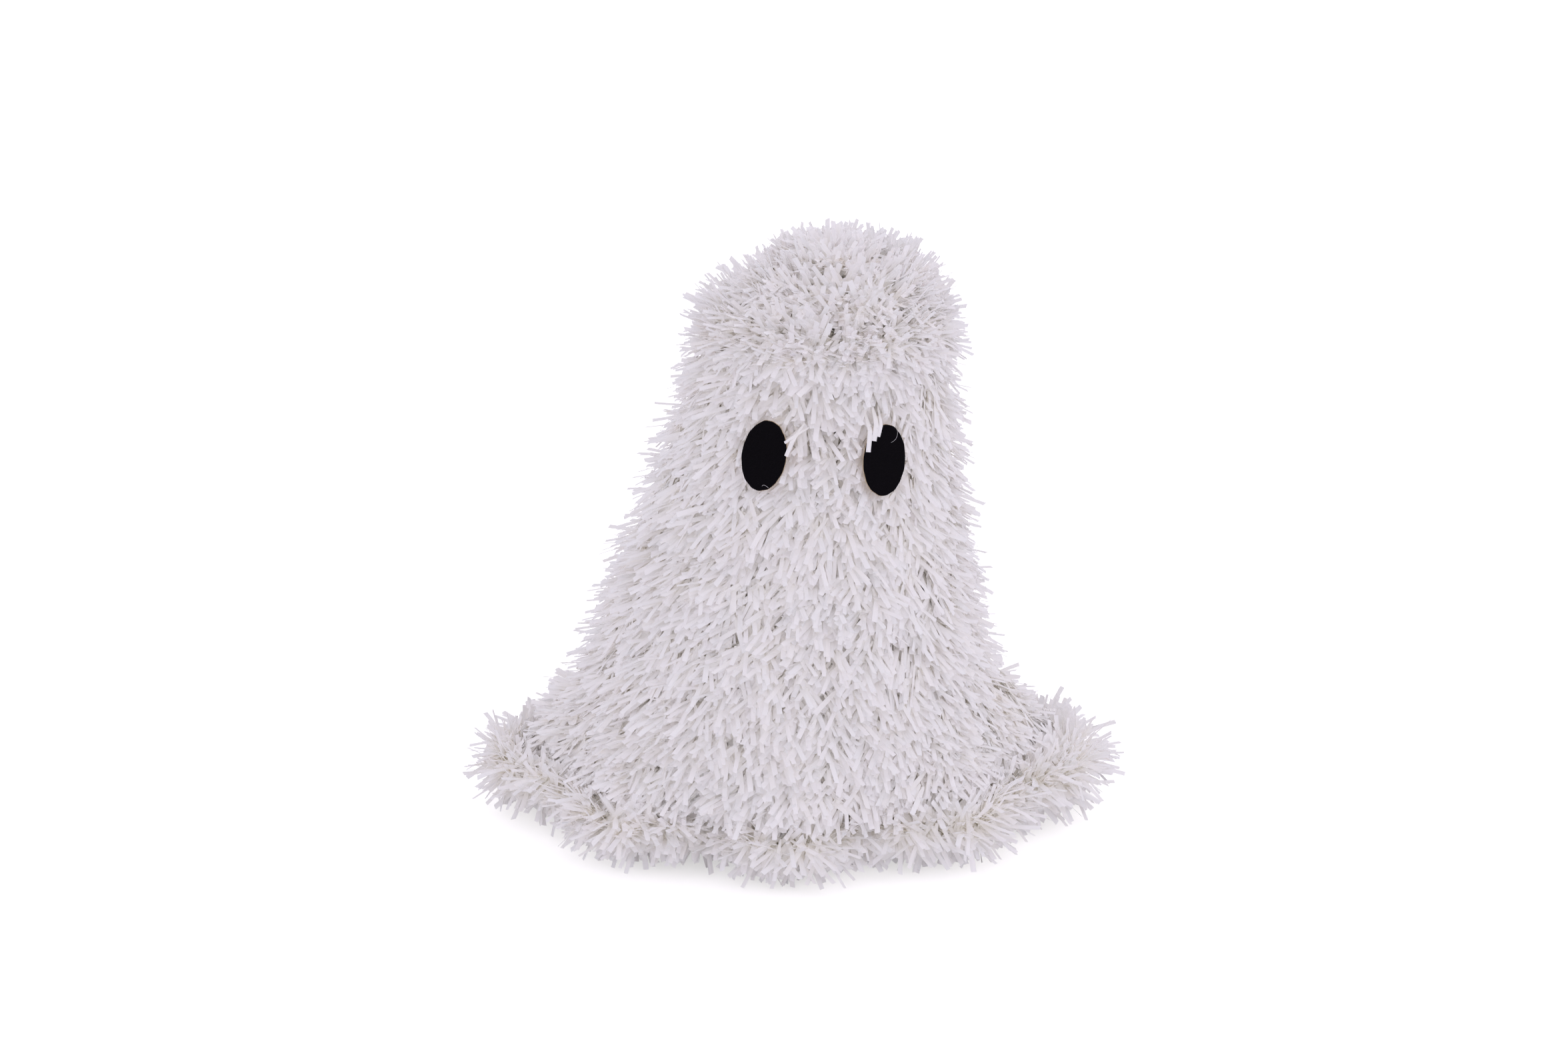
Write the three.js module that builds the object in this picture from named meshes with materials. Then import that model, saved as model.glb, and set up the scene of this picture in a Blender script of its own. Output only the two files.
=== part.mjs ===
// A tinsel ghost: a bell of painted steel wire with white tinsel garland wound on it in rows,
// a thicker rope of the same garland round its wavy hem, and two oval felt eyes.
// Millimetres and degrees. +Z is up, the face looks towards -Y, and the origin lies on the
// ground under the middle of the hem. An angle round the body starts at the front (-Y) and
// grows towards +X, which is the viewer's right.
import * as THREE from 'three';

// Wires
const frameWire = 3.0;
const coreWire = 2.4;
const tieWire = 0.6;
const clearance = 0.3;
const slantClearance = 0.9;

// Wire frame: a dome on a bell, then straight legs out to the hem
const shoulderRadius = 41;
const shoulderHeight = 244;
const skirtRadius = 86;
const skirtHeight = 60;
const waistDraw = 3;
const crownRingRadius = 6;
const ribCount = 8;

// Hem: a wavy ring with a lobe at each rib, wider at the sides than at the front. The rope
// round it has eight flat sides and a mouth towards the legs.
const hemFront = 97;
const hemSide = 134;
const hemWave = 9;
const ropeMouth = 50;

// The whole ghost leans to its left above this height
const leanTop = 22.4;
const leanFrom = 60;
const leanTo = 275;
const leanCurve = 1.7;

// Garland: the strips reach this far from the core, and their tips stand out of the pile
const garlandRadius = 23.5;
const tipStandOut = 5;
const standingFlat = 0.5;
const rowGap = 1;
const domeRows = 3;
const bodyRows = 6;
const poleHole = 2;
const crestEdge = 0.2;
const flankShare = 0.7;
const skirtThinning = 0.6;
const climbShare = 1 / 6;
const startAngle = 210;

// Strips that stand out of the pile
const stripRoot = 3.2;
const stripLean = 4;
const crestFall = 7;
const flankFall = 3;
const hemRise = 2;

// Steps and sides that round things are drawn with
const stepsPerTurn = 24;
const crownSteps = 16;
const tieSteps = 12;
const wireSides = 6;
const coreSides = 5;
const tieSides = 4;
const eyeSegments = 14;

// Eyes
const eyeWidth = 22.5;
const eyeHeight = 34.5;
const feltThickness = 1.5;
const padShare = 0.62;
const padThickness = 1.2;
const eyes = {
  left: { angle: -20.2, height: 210.5, tilt: 7.4 },
  right: { angle: 27.5, height: 207.2, tilt: 9.5 },
};

// Worked out from the sizes above
const skirtRow = domeRows + bodyRows;
const lastRow = skirtRow + 1;
const legStep = 360 / ribCount;
const coreDepth = frameWire / 2 + clearance + coreWire / 2;
const pileFloor = coreDepth + coreWire / 2 + clearance + tieWire + clearance;
const pileCrest = coreDepth + garlandRadius - tipStandOut;
const pileFlank = pileFloor + flankShare * (pileCrest - pileFloor);
const ropeRadius = garlandRadius - standingFlat;
const ropePile = garlandRadius - tipStandOut;
const ropeSides = 8;
const hemSteps = 2 * stepsPerTurn;
const hoopDepth = (frameWire + coreWire) / 2 + clearance;
const tieRadius = (frameWire + clearance + coreWire) / 2 + clearance + tieWire / 2;
const tieFromCore = (frameWire + clearance) / 2;
const notchDepth = tieRadius + tieWire / 2 + clearance - tieFromCore;
const notchHalf = tieRadius + tieWire / 2;

const rad = THREE.MathUtils.degToRad;
const lerp = THREE.MathUtils.lerp;
const clamp = THREE.MathUtils.clamp;

const paintedSteel = () => new THREE.MeshStandardMaterial({ color: 0xe9e9e6, roughness: 0.45, metalness: 0.2 });
const twistedSteel = () => new THREE.MeshStandardMaterial({ color: 0xb9bbbd, roughness: 0.35, metalness: 0.9 });
const tinselFilm = () => new THREE.MeshStandardMaterial({ color: 0xece8ee, roughness: 0.5, metalness: 0 });
const blackFelt = () => new THREE.MeshStandardMaterial({ color: 0x111113, roughness: 0.95, metalness: 0 });
const gluePad = () => new THREE.MeshStandardMaterial({ color: 0xd8cdb8, roughness: 0.6, metalness: 0 });

// How far the body has leaned to +X at a height
function lean(z) {
  const t = Math.max(0, (z - leanFrom) / (leanTo - leanFrom));
  return leanTop * t ** leanCurve;
}

// A point from its angle round the body, its distance from the axis and its height
function place(angle, r, z) {
  const a = rad(angle);
  return new THREE.Vector3(r * Math.sin(a) + lean(z), -r * Math.cos(a), z);
}

// The bell's slope where it meets the dome sets the dome's radius and centre
const bellSpan = shoulderHeight - skirtHeight;
const bellGrowth = skirtRadius - shoulderRadius;
const shoulderSlope = Math.atan2(bellGrowth - 4 * waistDraw, bellSpan);
const domeRadius = shoulderRadius / Math.cos(shoulderSlope);
const domeCentre = shoulderHeight - domeRadius * Math.sin(shoulderSlope);

// Distance from the axis to the middle of the hem rope, with a lobe at each rib
function hemReach(angle) {
  const side = Math.sin(rad(angle)) ** 4;
  return lerp(hemFront, hemSide, side) + hemWave * Math.cos(rad(ribCount * angle));
}

// The direction, in the plane through the axis, from the hem rope up to the skirt hoop
function legDirection(angle) {
  return Math.atan2(skirtHeight - ropeRadius, skirtRadius - hemReach(angle));
}

// A point on the rib line at row u, counted down from the crown, with the slope of its
// outward normal. share thins the pile where the skirt row meets the rope.
function frameRay(u, angle) {
  if (u <= domeRows) {
    const polar = (u / domeRows) * (Math.PI / 2 - shoulderSlope);
    return {
      r: domeRadius * Math.sin(polar),
      z: domeCentre + domeRadius * Math.cos(polar),
      slope: Math.PI / 2 - polar,
      share: 1,
    };
  }
  const t = Math.min(1, (u - domeRows) / bodyRows);
  const ray = {
    r: shoulderRadius + bellGrowth * t - 4 * waistDraw * t * (1 - t),
    z: shoulderHeight - bellSpan * t,
    slope: Math.atan2(bellGrowth - 4 * waistDraw * (1 - 2 * t), bellSpan),
    share: 1,
  };
  if (u > skirtRow) {
    const s = u - skirtRow;
    const a = legDirection(angle);
    const clear = ropeRadius + rowGap;
    ray.r = lerp(ray.r, hemReach(angle) + clear * Math.cos(a), s);
    ray.z = lerp(ray.z, ropeRadius + clear * Math.sin(a), s);
    ray.slope = lerp(ray.slope, a - Math.PI / 2, s);
    ray.share = lerp(1, skirtThinning, s);
  }
  return ray;
}

// The point at a depth out along a ray, moved down the slope
function along(ray, depth, down = 0) {
  const c = Math.cos(ray.slope);
  const s = Math.sin(ray.slope);
  return [ray.r + c * depth + s * down, ray.z + s * depth - c * down];
}

// The row that the garland lies in after so many turns: level, then a climb at the back
function rowAt(turn) {
  const whole = Math.floor(turn + 1e-9);
  const climb = clamp((turn - whole - (1 - climbShare)) / climbShare, 0, 1);
  return whole + 0.5 + climb;
}

// A closed body from rings of points: side faces, a strip on each side face for which
// stripFall gives a fall, and a cap on each end unless the rings run round
function sweptBody(rings, { runsRound = false, stripFall = () => null } = {}) {
  const points = rings.flat();
  const faces = [];
  const sides = rings[0].length;
  const index = (i, j) => (i % rings.length) * sides + (j % sides);
  const spans = runsRound ? rings.length : rings.length - 1;
  for (let i = 0; i < spans; i++) {
    const middle = centreOf(rings[i]);
    for (let j = 0; j < sides; j++) {
      const quad = [index(i, j), index(i + 1, j), index(i + 1, j + 1), index(i, j + 1)];
      const fall = stripFall(i, j);
      if (fall !== null) {
        addStrip(points, faces, quad, middle, fall);
      } else {
        faces.push([quad[0], quad[1], quad[2]], [quad[0], quad[2], quad[3]]);
      }
    }
  }
  if (!runsRound) {
    const lastRing = (rings.length - 1) * sides;
    for (const [a, b, c] of capFaces(rings[0])) {
      faces.push([a, b, c]);
    }
    for (const [a, b, c] of capFaces(rings[rings.length - 1])) {
      faces.push([lastRing + a, lastRing + c, lastRing + b]);
    }
  }
  return solid(points, faces);
}

function centreOf(ring) {
  const sum = new THREE.Vector3();
  for (const p of ring) {
    sum.add(p);
  }
  return sum.divideScalar(ring.length);
}

// Triangles that close a ring, which may have a notch, seen in the ring's own plane
function capFaces(ring) {
  const middle = centreOf(ring);
  const normal = new THREE.Vector3();
  for (let i = 0; i < ring.length; i++) {
    const a = ring[i].clone().sub(middle);
    const b = ring[(i + 1) % ring.length].clone().sub(middle);
    normal.add(a.cross(b));
  }
  normal.normalize();
  const x = ring[0].clone().sub(middle).normalize();
  const y = normal.clone().cross(x);
  const flat = ring.map((p) => {
    const d = p.clone().sub(middle);
    return new THREE.Vector2(d.dot(x), d.dot(y));
  });
  return THREE.ShapeUtils.triangulateShape(flat, []);
}

// One strip of three sides: a small triangle let into a side face, drawn out to a point
// that stands away from the pile, falls down the slope and leans back along the row
function addStrip(points, faces, quad, middle, fall) {
  const [a, b, c, d] = quad.map((k) => points[k]);
  const centre = centreOf([a, b, c, d]);
  const back = a.clone().add(d).sub(b).sub(c).normalize();
  const down = d.clone().add(c).sub(a).sub(b).normalize();
  const out = back.clone().cross(down).normalize();
  if (out.dot(centre.clone().sub(middle)) < 0) {
    out.negate();
  }
  const root = [
    centre.clone().addScaledVector(down, -stripRoot / 2),
    centre.clone().addScaledVector(down, stripRoot / 2).addScaledVector(back, -stripRoot / 2),
    centre.clone().addScaledVector(down, stripRoot / 2).addScaledVector(back, stripRoot / 2),
  ];
  const tip = centre.clone().addScaledVector(out, tipStandOut);
  tip.addScaledVector(down, fall).addScaledVector(back, stripLean);
  const p = points.length;
  points.push(...root, tip);
  const [q0, q1, q2, q3] = quad;
  faces.push([q0, q1, p], [q1, p + 1, p], [q1, q2, p + 1], [q2, p + 2, p + 1]);
  faces.push([q2, q3, p + 2], [q3, p, p + 2], [q3, q0, p]);
  faces.push([p, p + 1, p + 3], [p + 1, p + 2, p + 3], [p + 2, p, p + 3]);
}

// A geometry from points and triangles, turned to face outwards by the sign of its volume
function solid(points, faces) {
  let volume = 0;
  for (const [i, j, k] of faces) {
    volume += points[i].dot(points[j].clone().cross(points[k]));
  }
  const outward = volume > 0 ? faces : faces.map(([i, j, k]) => [i, k, j]);
  const geometry = new THREE.BufferGeometry();
  geometry.setAttribute('position', new THREE.Float32BufferAttribute(points.flatMap((p) => p.toArray()), 3));
  geometry.setIndex(outward.flat());
  geometry.computeVertexNormals();
  return geometry;
}

function mesh(name, geometry, material) {
  const m = new THREE.Mesh(geometry, material);
  m.name = name;
  return m;
}

// Points round [r, z] in the plane through the axis at an angle
function wireRing(angle, [r, z], diameter, sides) {
  const ring = [];
  for (let k = 0; k < sides; k++) {
    const a = (2 * Math.PI * k) / sides;
    ring.push(place(angle, r + (diameter / 2) * Math.cos(a), z + (diameter / 2) * Math.sin(a)));
  }
  return ring;
}

// Frame hoops, round and level, just inside the ribs
function hoop(name, u) {
  const ray = frameRay(u, 0);
  const [r, z] = along(ray, -frameWire - clearance);
  const ring = mesh(name, new THREE.TorusGeometry(r, frameWire / 2, wireSides, stepsPerTurn), paintedSteel());
  ring.position.set(lean(z), 0, z);
  return ring;
}

// The small ring at the crown that the tops of the ribs are welded round
function crownRing() {
  const drop = domeRadius - Math.sqrt(domeRadius ** 2 - crownRingRadius ** 2);
  const z = domeCentre + domeRadius - drop;
  const torus = new THREE.TorusGeometry(crownRingRadius, frameWire / 2, wireSides, crownSteps);
  const ring = mesh('crown_ring', torus, paintedSteel());
  ring.position.set(lean(z), 0, z);
  return ring;
}

// A rib runs from the crown ring down the dome and the bell, then out along a straight leg.
// It ends slantClearance above the hem hoop, which passes four of the ribs on a slant.
function rib(name, angle) {
  const topReach = crownRingRadius + frameWire / 2 + 2 * clearance;
  const topRow = (domeRows * Math.asin(topReach / domeRadius)) / (Math.PI / 2 - shoulderSlope);
  const stops = [frameRay(topRow, angle)];
  for (let u = 1; u < domeRows; u += 0.5) {
    stops.push(frameRay(u, angle));
  }
  for (let u = domeRows; u <= skirtRow; u++) {
    stops.push(frameRay(u, angle));
  }
  const a = legDirection(angle);
  const toEnd = hoopDepth + frameWire / 2 + slantClearance;
  stops.push({
    r: hemReach(angle) + toEnd * Math.cos(a),
    z: ropeRadius + toEnd * Math.sin(a),
    slope: a - Math.PI / 2,
  });
  const side = place(angle + 90, 1, 0).sub(place(0, 0, 0));
  const rings = stops.map((stop) => {
    const ring = [];
    for (let k = 0; k < wireSides; k++) {
      const w = (2 * Math.PI * k) / wireSides;
      const [r, z] = along(stop, (frameWire / 2) * Math.cos(w));
      ring.push(place(angle, r, z).addScaledVector(side, (frameWire / 2) * Math.sin(w)));
    }
    return ring;
  });
  return mesh(name, sweptBody(rings), paintedSteel());
}

// The wavy hem hoop lies beside the core of the rope, on the side that the legs come from
function hemHoop() {
  const rings = [];
  for (let k = 0; k < hemSteps; k++) {
    const angle = (360 * k) / hemSteps;
    const a = legDirection(angle);
    const at = [hemReach(angle) + hoopDepth * Math.cos(a), ropeRadius + hoopDepth * Math.sin(a)];
    rings.push(wireRing(angle, at, frameWire, wireSides));
  }
  return mesh('hem_hoop', sweptBody(rings, { runsRound: true }), paintedSteel());
}

// Stops along the winding, in turns: finer where the rows start to follow the hem's lobes
function turnStops(from, to) {
  const change = skirtRow - 0.5;
  const stops = [];
  let turn = from;
  while (turn < to - 1e-6) {
    stops.push(turn);
    turn += 1 / (turn < change - 1e-6 ? stepsPerTurn : 2 * stepsPerTurn);
  }
  stops.push(to);
  return stops;
}

// The rows that bound the garland after so many turns. Its last turn narrows to a wedge
// under the climb of the turn above it.
function rowEdges(turn) {
  const lower = Math.min(lastRow, rowAt(turn) + 0.5);
  const upper = turn < 1 ? rowAt(turn) - 0.5 : rowAt(turn - 1) + 0.5;
  return { upper, lower };
}

// Six corners of the pile between two rays: floor, flank and crest, on each side
function pileRing(turn, angle) {
  const { upper, lower } = rowEdges(turn);
  const rayAbove = frameRay(upper, angle);
  const rayBelow = frameRay(lower, angle);
  const middle = frameRay((upper + lower) / 2, angle);
  const atPole = upper < 1e-6 ? poleHole : rowGap / 2;
  const depthOn = (ray, depth) => pileFloor + ray.share * (depth - pileFloor);
  const floor = (lift) => [along(rayAbove, pileFloor + lift, atPole), along(rayBelow, pileFloor + lift, -rowGap / 2)];
  const [first, second] = floor(0);
  const chord = [(first[0] + second[0]) / 2 - middle.r, (first[1] + second[1]) / 2 - middle.z];
  const height = chord[0] * Math.cos(middle.slope) + chord[1] * Math.sin(middle.slope);
  const [floorAbove, floorBelow] = floor(Math.max(0, pileFloor - height));
  const crestAbove = frameRay(lerp(upper, lower, crestEdge), angle);
  const crestBelow = frameRay(lerp(upper, lower, 1 - crestEdge), angle);
  const section = [
    floorAbove,
    along(rayAbove, depthOn(rayAbove, pileFlank), atPole),
    along(crestAbove, depthOn(crestAbove, pileCrest)),
    along(crestBelow, depthOn(crestBelow, pileCrest)),
    along(rayBelow, depthOn(rayBelow, pileFlank), -rowGap / 2),
    floorBelow,
  ];
  return section.map(([r, z]) => place(angle, r, z));
}

function winding(from, to) {
  const stops = turnStops(from, to);
  return stops.map((turn) => ({ turn, angle: startAngle + 360 * turn }));
}

// Least distance between parts of a winding that are more than half a turn apart,
// measured on four points along each side of each ring
function leastGapToItself(rings) {
  const samples = rings.map((ring) => ring.flatMap((p, j) => {
    const next = ring[(j + 1) % ring.length];
    return [0, 0.25, 0.5, 0.75].map((s) => p.clone().lerp(next, s));
  }));
  let least = Infinity;
  for (let i = 0; i < samples.length; i++) {
    for (let k = i + Math.round(stepsPerTurn / 2); k < samples.length; k++) {
      for (const p of samples[i]) {
        for (const q of samples[k]) {
          least = Math.min(least, p.distanceToSquared(q));
        }
      }
    }
  }
  return Math.sqrt(least);
}

// True where a strip would stand under an eye
function underEye(point) {
  return Object.values(eyes).some(({ angle, height }) => {
    const centre = eyePlace(angle, height, pileCrest).centre;
    return point.distanceTo(centre) < eyeHeight / 2 + crestFall;
  });
}

// One length of garland: the pile with strips on its crest and lower flank
function garland(name, from, to) {
  const route = winding(from, to);
  const rings = route.map(({ turn, angle }) => pileRing(turn, angle));
  const faces = { 2: { every: 1, fall: crestFall }, 3: { every: 3, fall: flankFall } };
  const stripFall = (i, j) => {
    const { turn } = route[i];
    const narrow = turn > skirtRow - 1 && turn - Math.floor(turn) > 1 - climbShare - 1e-6;
    if (!(j in faces) || i + 2 >= rings.length || narrow || underEye(rings[i][j])) {
      return null;
    }
    const every = faces[j].every * (turn > skirtRow - 0.5 ? 2 : 1);
    return i % every === 0 ? faces[j].fall : null;
  };
  if (to - from > 1) {
    console.log(`${name}: least gap to itself ${leastGapToItself(rings).toFixed(2)} mm`);
  }
  return mesh(name, sweptBody(rings, { stripFall }), tinselFilm());
}

function garlandCore(name, from, to) {
  const rings = winding(from, to).map(({ turn, angle }) => {
    const { upper, lower } = rowEdges(turn);
    return wireRing(angle, along(frameRay((upper + lower) / 2, angle), coreDepth), coreWire, coreSides);
  });
  return mesh(name, sweptBody(rings), twistedSteel());
}

// The hem rope is flat where it stands, has a mouth towards the legs for the hoop, and is
// thinner by the strips' stand-out on the sides that they cover
function ropeRing(angle) {
  const reach = hemReach(angle);
  const a = legDirection(angle);
  const half = rad(ropeMouth) / 2;
  const turnOf = (side) => (2 * Math.PI * (side + 0.5)) / ropeSides;
  const spoke = (w, radius = ropeRadius) => {
    const corner = radius / Math.cos(Math.PI / ropeSides);
    return [reach + corner * Math.cos(w), ropeRadius + corner * Math.sin(w)];
  };
  const notch = (side) => [
    reach - notchDepth * Math.cos(a) - side * notchHalf * Math.sin(a),
    ropeRadius - notchDepth * Math.sin(a) + side * notchHalf * Math.cos(a),
  ];
  const section = [
    spoke(turnOf(-1), ropePile),
    spoke(turnOf(0), ropePile),
    spoke((turnOf(0) + a - half) / 2, ropePile),
    spoke(a - half),
    notch(-1),
    notch(1),
    spoke(a + half),
    spoke((turnOf(4) + a + half) / 2),
    spoke(turnOf(4)),
    spoke(turnOf(5)),
    spoke(turnOf(6)),
  ];
  return section.map(([r, z]) => place(angle, r, z));
}

// Angles round the hem from one end of the rope to the other, which meet at the back
function hemAngles() {
  const endGap = THREE.MathUtils.radToDeg(rowGap / 2 / hemFront);
  const angles = [];
  for (let k = 0; k <= hemSteps; k++) {
    angles.push(180 + (360 * k) / hemSteps);
  }
  angles[0] += endGap;
  angles[hemSteps] -= endGap;
  return angles;
}

// Strips stand on the rope's outer sides: every step on the three that face out and up, and
// every second step on the one below them
function hemRope() {
  const rings = hemAngles().map(ropeRing);
  const every = { 0: 1, 1: 1, 2: 1, 10: 2 };
  const stripFall = (i, j) => (j in every && i % every[j] === 0 ? -hemRise : null);
  return mesh('hem_tinsel', sweptBody(rings, { stripFall }), tinselFilm());
}

function hemCore() {
  const rings = hemAngles().map((angle) => wireRing(angle, [hemReach(angle), ropeRadius], coreWire, coreSides));
  return mesh('hem_core_wire', sweptBody(rings), twistedSteel());
}

// A tie is a ring of thin wire round a frame wire and the core beside it. heading is the
// way through the ring.
function tie(name, frameAt, coreAt, heading) {
  const between = coreAt.clone().sub(frameAt);
  const distance = between.length();
  between.divideScalar(distance);
  const centre = frameAt.clone().addScaledVector(between, (distance + (coreWire - frameWire) / 2) / 2);
  const radius = tieRadius + (distance - hoopDepth) / 2;
  const axis = heading.addScaledVector(between, -heading.dot(between)).normalize();
  const ring = mesh(name, new THREE.TorusGeometry(radius, tieWire / 2, tieSides, tieSteps), twistedSteel());
  ring.position.copy(centre);
  ring.quaternion.setFromUnitVectors(new THREE.Vector3(0, 0, 1), axis);
  return ring;
}

// Round a rib and the core that crosses it, on a slant between the two
function crossingTie(name, row, angle) {
  const at = (u, depth) => place(angle, ...along(frameRay(u, angle), depth));
  const downRib = at(row + 0.6, 0).sub(at(row + 0.4, 0)).normalize();
  const alongCore = place(angle + 90, 1, 0);
  return tie(name, at(row + 0.5, 0), at(row + 0.5, coreDepth), downRib.add(alongCore));
}

// Round the hem hoop and the core that lies beside it, square to both
function hemTie(name, angle) {
  const a = legDirection(angle);
  const r = hemReach(angle);
  const hoopAt = place(angle, r + hoopDepth * Math.cos(a), ropeRadius + hoopDepth * Math.sin(a));
  return tie(name, hoopAt, place(angle, r, ropeRadius), place(angle + 90, 1, 0));
}

// The place and the directions of an eye: across, up and out of the face
function eyePlace(angle, height, depth) {
  const t = (shoulderHeight - height) / bellSpan;
  const ray = frameRay(domeRows + bodyRows * t, angle);
  ray.z = height - depth * Math.sin(ray.slope);
  const tFace = (shoulderHeight - ray.z) / bellSpan;
  const face = frameRay(domeRows + bodyRows * tFace, angle);
  const [r, z] = along(face, depth);
  const across = place(angle + 90, 1, 0);
  const out = place(angle, Math.cos(face.slope), 0).setZ(Math.sin(face.slope));
  return { centre: place(angle, r, z), across, out, up: out.clone().cross(across) };
}

// A flat oval whose back lies at a depth out from the ribs
function oval(name, { angle, height, tilt }, width, tall, depth, thickness, material) {
  const { centre, across, out, up } = eyePlace(angle, height, depth);
  const shape = new THREE.Shape().absellipse(0, 0, width / 2, tall / 2, 0, 2 * Math.PI);
  const geometry = new THREE.ExtrudeGeometry(shape, { depth: thickness, bevelEnabled: false, curveSegments: eyeSegments });
  geometry.rotateZ(-rad(tilt));
  const patch = mesh(name, geometry, material);
  patch.position.copy(centre);
  patch.quaternion.setFromRotationMatrix(new THREE.Matrix4().makeBasis(across, up, out));
  return patch;
}

function eye(side) {
  const padDepth = pileCrest + clearance;
  const feltDepth = padDepth + padThickness + clearance;
  const group = new THREE.Group();
  group.add(oval(`${side}_eye`, eyes[side], eyeWidth, eyeHeight, feltDepth, feltThickness, blackFelt()));
  const width = padShare * eyeWidth;
  const tall = padShare * eyeHeight;
  group.add(oval(`${side}_eye_pad`, eyes[side], width, tall, padDepth, padThickness, gluePad()));
  return group;
}

const frame = new THREE.Group();
frame.add(crownRing());
frame.add(hoop('brow_hoop', domeRows - 1));
frame.add(hoop('shoulder_hoop', domeRows));
frame.add(hoop('chest_hoop', domeRows + bodyRows / 3));
frame.add(hoop('waist_hoop', domeRows + (2 * bodyRows) / 3));
frame.add(hoop('skirt_hoop', skirtRow));
frame.add(hemHoop());
for (let k = 0; k < ribCount; k++) {
  frame.add(rib(`rib_${k + 1}`, legStep * k));
}

// Lengths of garland, from turn to turn, joined end to end down the winding
const lengths = {
  head: [0, domeRows],
  upper_body: [domeRows, domeRows + bodyRows / 2],
  lower_body: [domeRows + bodyRows / 2, skirtRow],
  skirt: [skirtRow, lastRow - climbShare / 3],
};
const endGapInTurns = rowGap / (2 * Math.PI * shoulderRadius);

const tinsel = new THREE.Group();
for (const [name, [from, to]] of Object.entries(lengths)) {
  tinsel.add(garland(`${name}_tinsel`, from, to - endGapInTurns));
  tinsel.add(garlandCore(`${name}_core_wire`, from, to - endGapInTurns));
}
tinsel.add(hemRope(), hemCore());

// Ties on every second row at four of the ribs, and between the ribs round the hem
const ties = new THREE.Group();
for (let row = 2; row < skirtRow; row += 2) {
  for (let k = 0; k < ribCount; k += 2) {
    ties.add(crossingTie(`tie_${row}_${k / 2 + 1}`, row, legStep * (k + (row % 4) / 2)));
  }
}
for (let k = 0; k < ribCount; k++) {
  ties.add(hemTie(`hem_tie_${k + 1}`, legStep * (k + 0.5)));
}

const face = new THREE.Group();
face.add(eye('left'), eye('right'));

const ghost = new THREE.Group();
ghost.name = 'tinsel_ghost';
ghost.add(frame, tinsel, ties, face);

export default ghost;
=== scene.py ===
# %% [markdown]
# # A tinsel ghost
# This lesson dresses the frame of a small ghost: a bell of steel wire with white tinsel
# garland wound on it from the crown to a wavy hem, and two oval felt eyes. The first lines
# load the frame, whose pieces already stand at their real places.

import bpy
import numpy as np
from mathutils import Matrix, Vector


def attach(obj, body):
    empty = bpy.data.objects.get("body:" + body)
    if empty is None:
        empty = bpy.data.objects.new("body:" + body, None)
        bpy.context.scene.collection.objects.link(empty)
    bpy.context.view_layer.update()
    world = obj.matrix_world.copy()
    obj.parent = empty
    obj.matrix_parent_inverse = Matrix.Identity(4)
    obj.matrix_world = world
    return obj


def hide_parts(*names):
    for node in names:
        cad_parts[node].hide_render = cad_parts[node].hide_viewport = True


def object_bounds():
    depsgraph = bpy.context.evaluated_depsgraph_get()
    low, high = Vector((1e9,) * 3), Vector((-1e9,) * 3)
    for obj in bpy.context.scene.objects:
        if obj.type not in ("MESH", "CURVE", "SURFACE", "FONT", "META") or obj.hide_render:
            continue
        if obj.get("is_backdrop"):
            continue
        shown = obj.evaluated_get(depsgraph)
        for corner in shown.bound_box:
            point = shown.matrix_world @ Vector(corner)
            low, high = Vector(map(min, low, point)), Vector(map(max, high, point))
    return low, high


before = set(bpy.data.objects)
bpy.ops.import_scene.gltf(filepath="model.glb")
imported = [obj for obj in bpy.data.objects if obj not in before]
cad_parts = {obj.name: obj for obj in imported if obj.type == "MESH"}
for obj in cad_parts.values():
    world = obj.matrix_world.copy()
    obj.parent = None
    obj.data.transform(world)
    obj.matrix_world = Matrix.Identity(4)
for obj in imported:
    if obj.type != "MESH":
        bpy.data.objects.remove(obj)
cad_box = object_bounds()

print("nodes:", len(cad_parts), "box:", [tuple(round(x, 4) for x in c) for c in cad_box])

# %% [markdown]
# The camera comes first. It stands a little above the ghost and looks slightly down, with a
# long lens, so that the upright lines stay nearly parallel.

# %% Place the camera
CAMERA_AT = (-0.003, -1.785, 0.802)
CAMERA_TARGET = (-0.003, 0.0, 0.152)
LENS_MM, SENSOR_MM = 86.8, 36


def new_object(name, data):
    """An object for a mesh, a camera or a lamp, linked to the scene."""
    made = bpy.data.objects.new(name, data)
    bpy.context.scene.collection.objects.link(made)
    return made


def look_at(thing, at, target):
    """Puts a camera or a lamp at a place and turns its own -Z axis towards a target."""
    thing.location = at
    thing.rotation_mode = "QUATERNION"
    thing.rotation_quaternion = (Vector(target) - Vector(at)).to_track_quat("-Z", "Y")


camera = new_object("camera", bpy.data.cameras.new("camera"))
look_at(camera, CAMERA_AT, CAMERA_TARGET)
camera.data.lens = LENS_MM
camera.data.sensor_width = SENSOR_MM
bpy.context.scene.camera = camera
drop, run = CAMERA_AT[2] - CAMERA_TARGET[2], CAMERA_TARGET[1] - CAMERA_AT[1]
print("camera looks down", round(np.degrees(np.arctan2(drop, run)), 1), "degrees")

# %% [markdown]
# Everything that follows works in millimetres and degrees, as the maker's drawing does, and
# a mesh is turned to metres when it is made. The ghost's shape comes from a few sizes: a
# dome on a bell, a skirt that spreads to a wavy hem, and a lean to the ghost's left.

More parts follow.
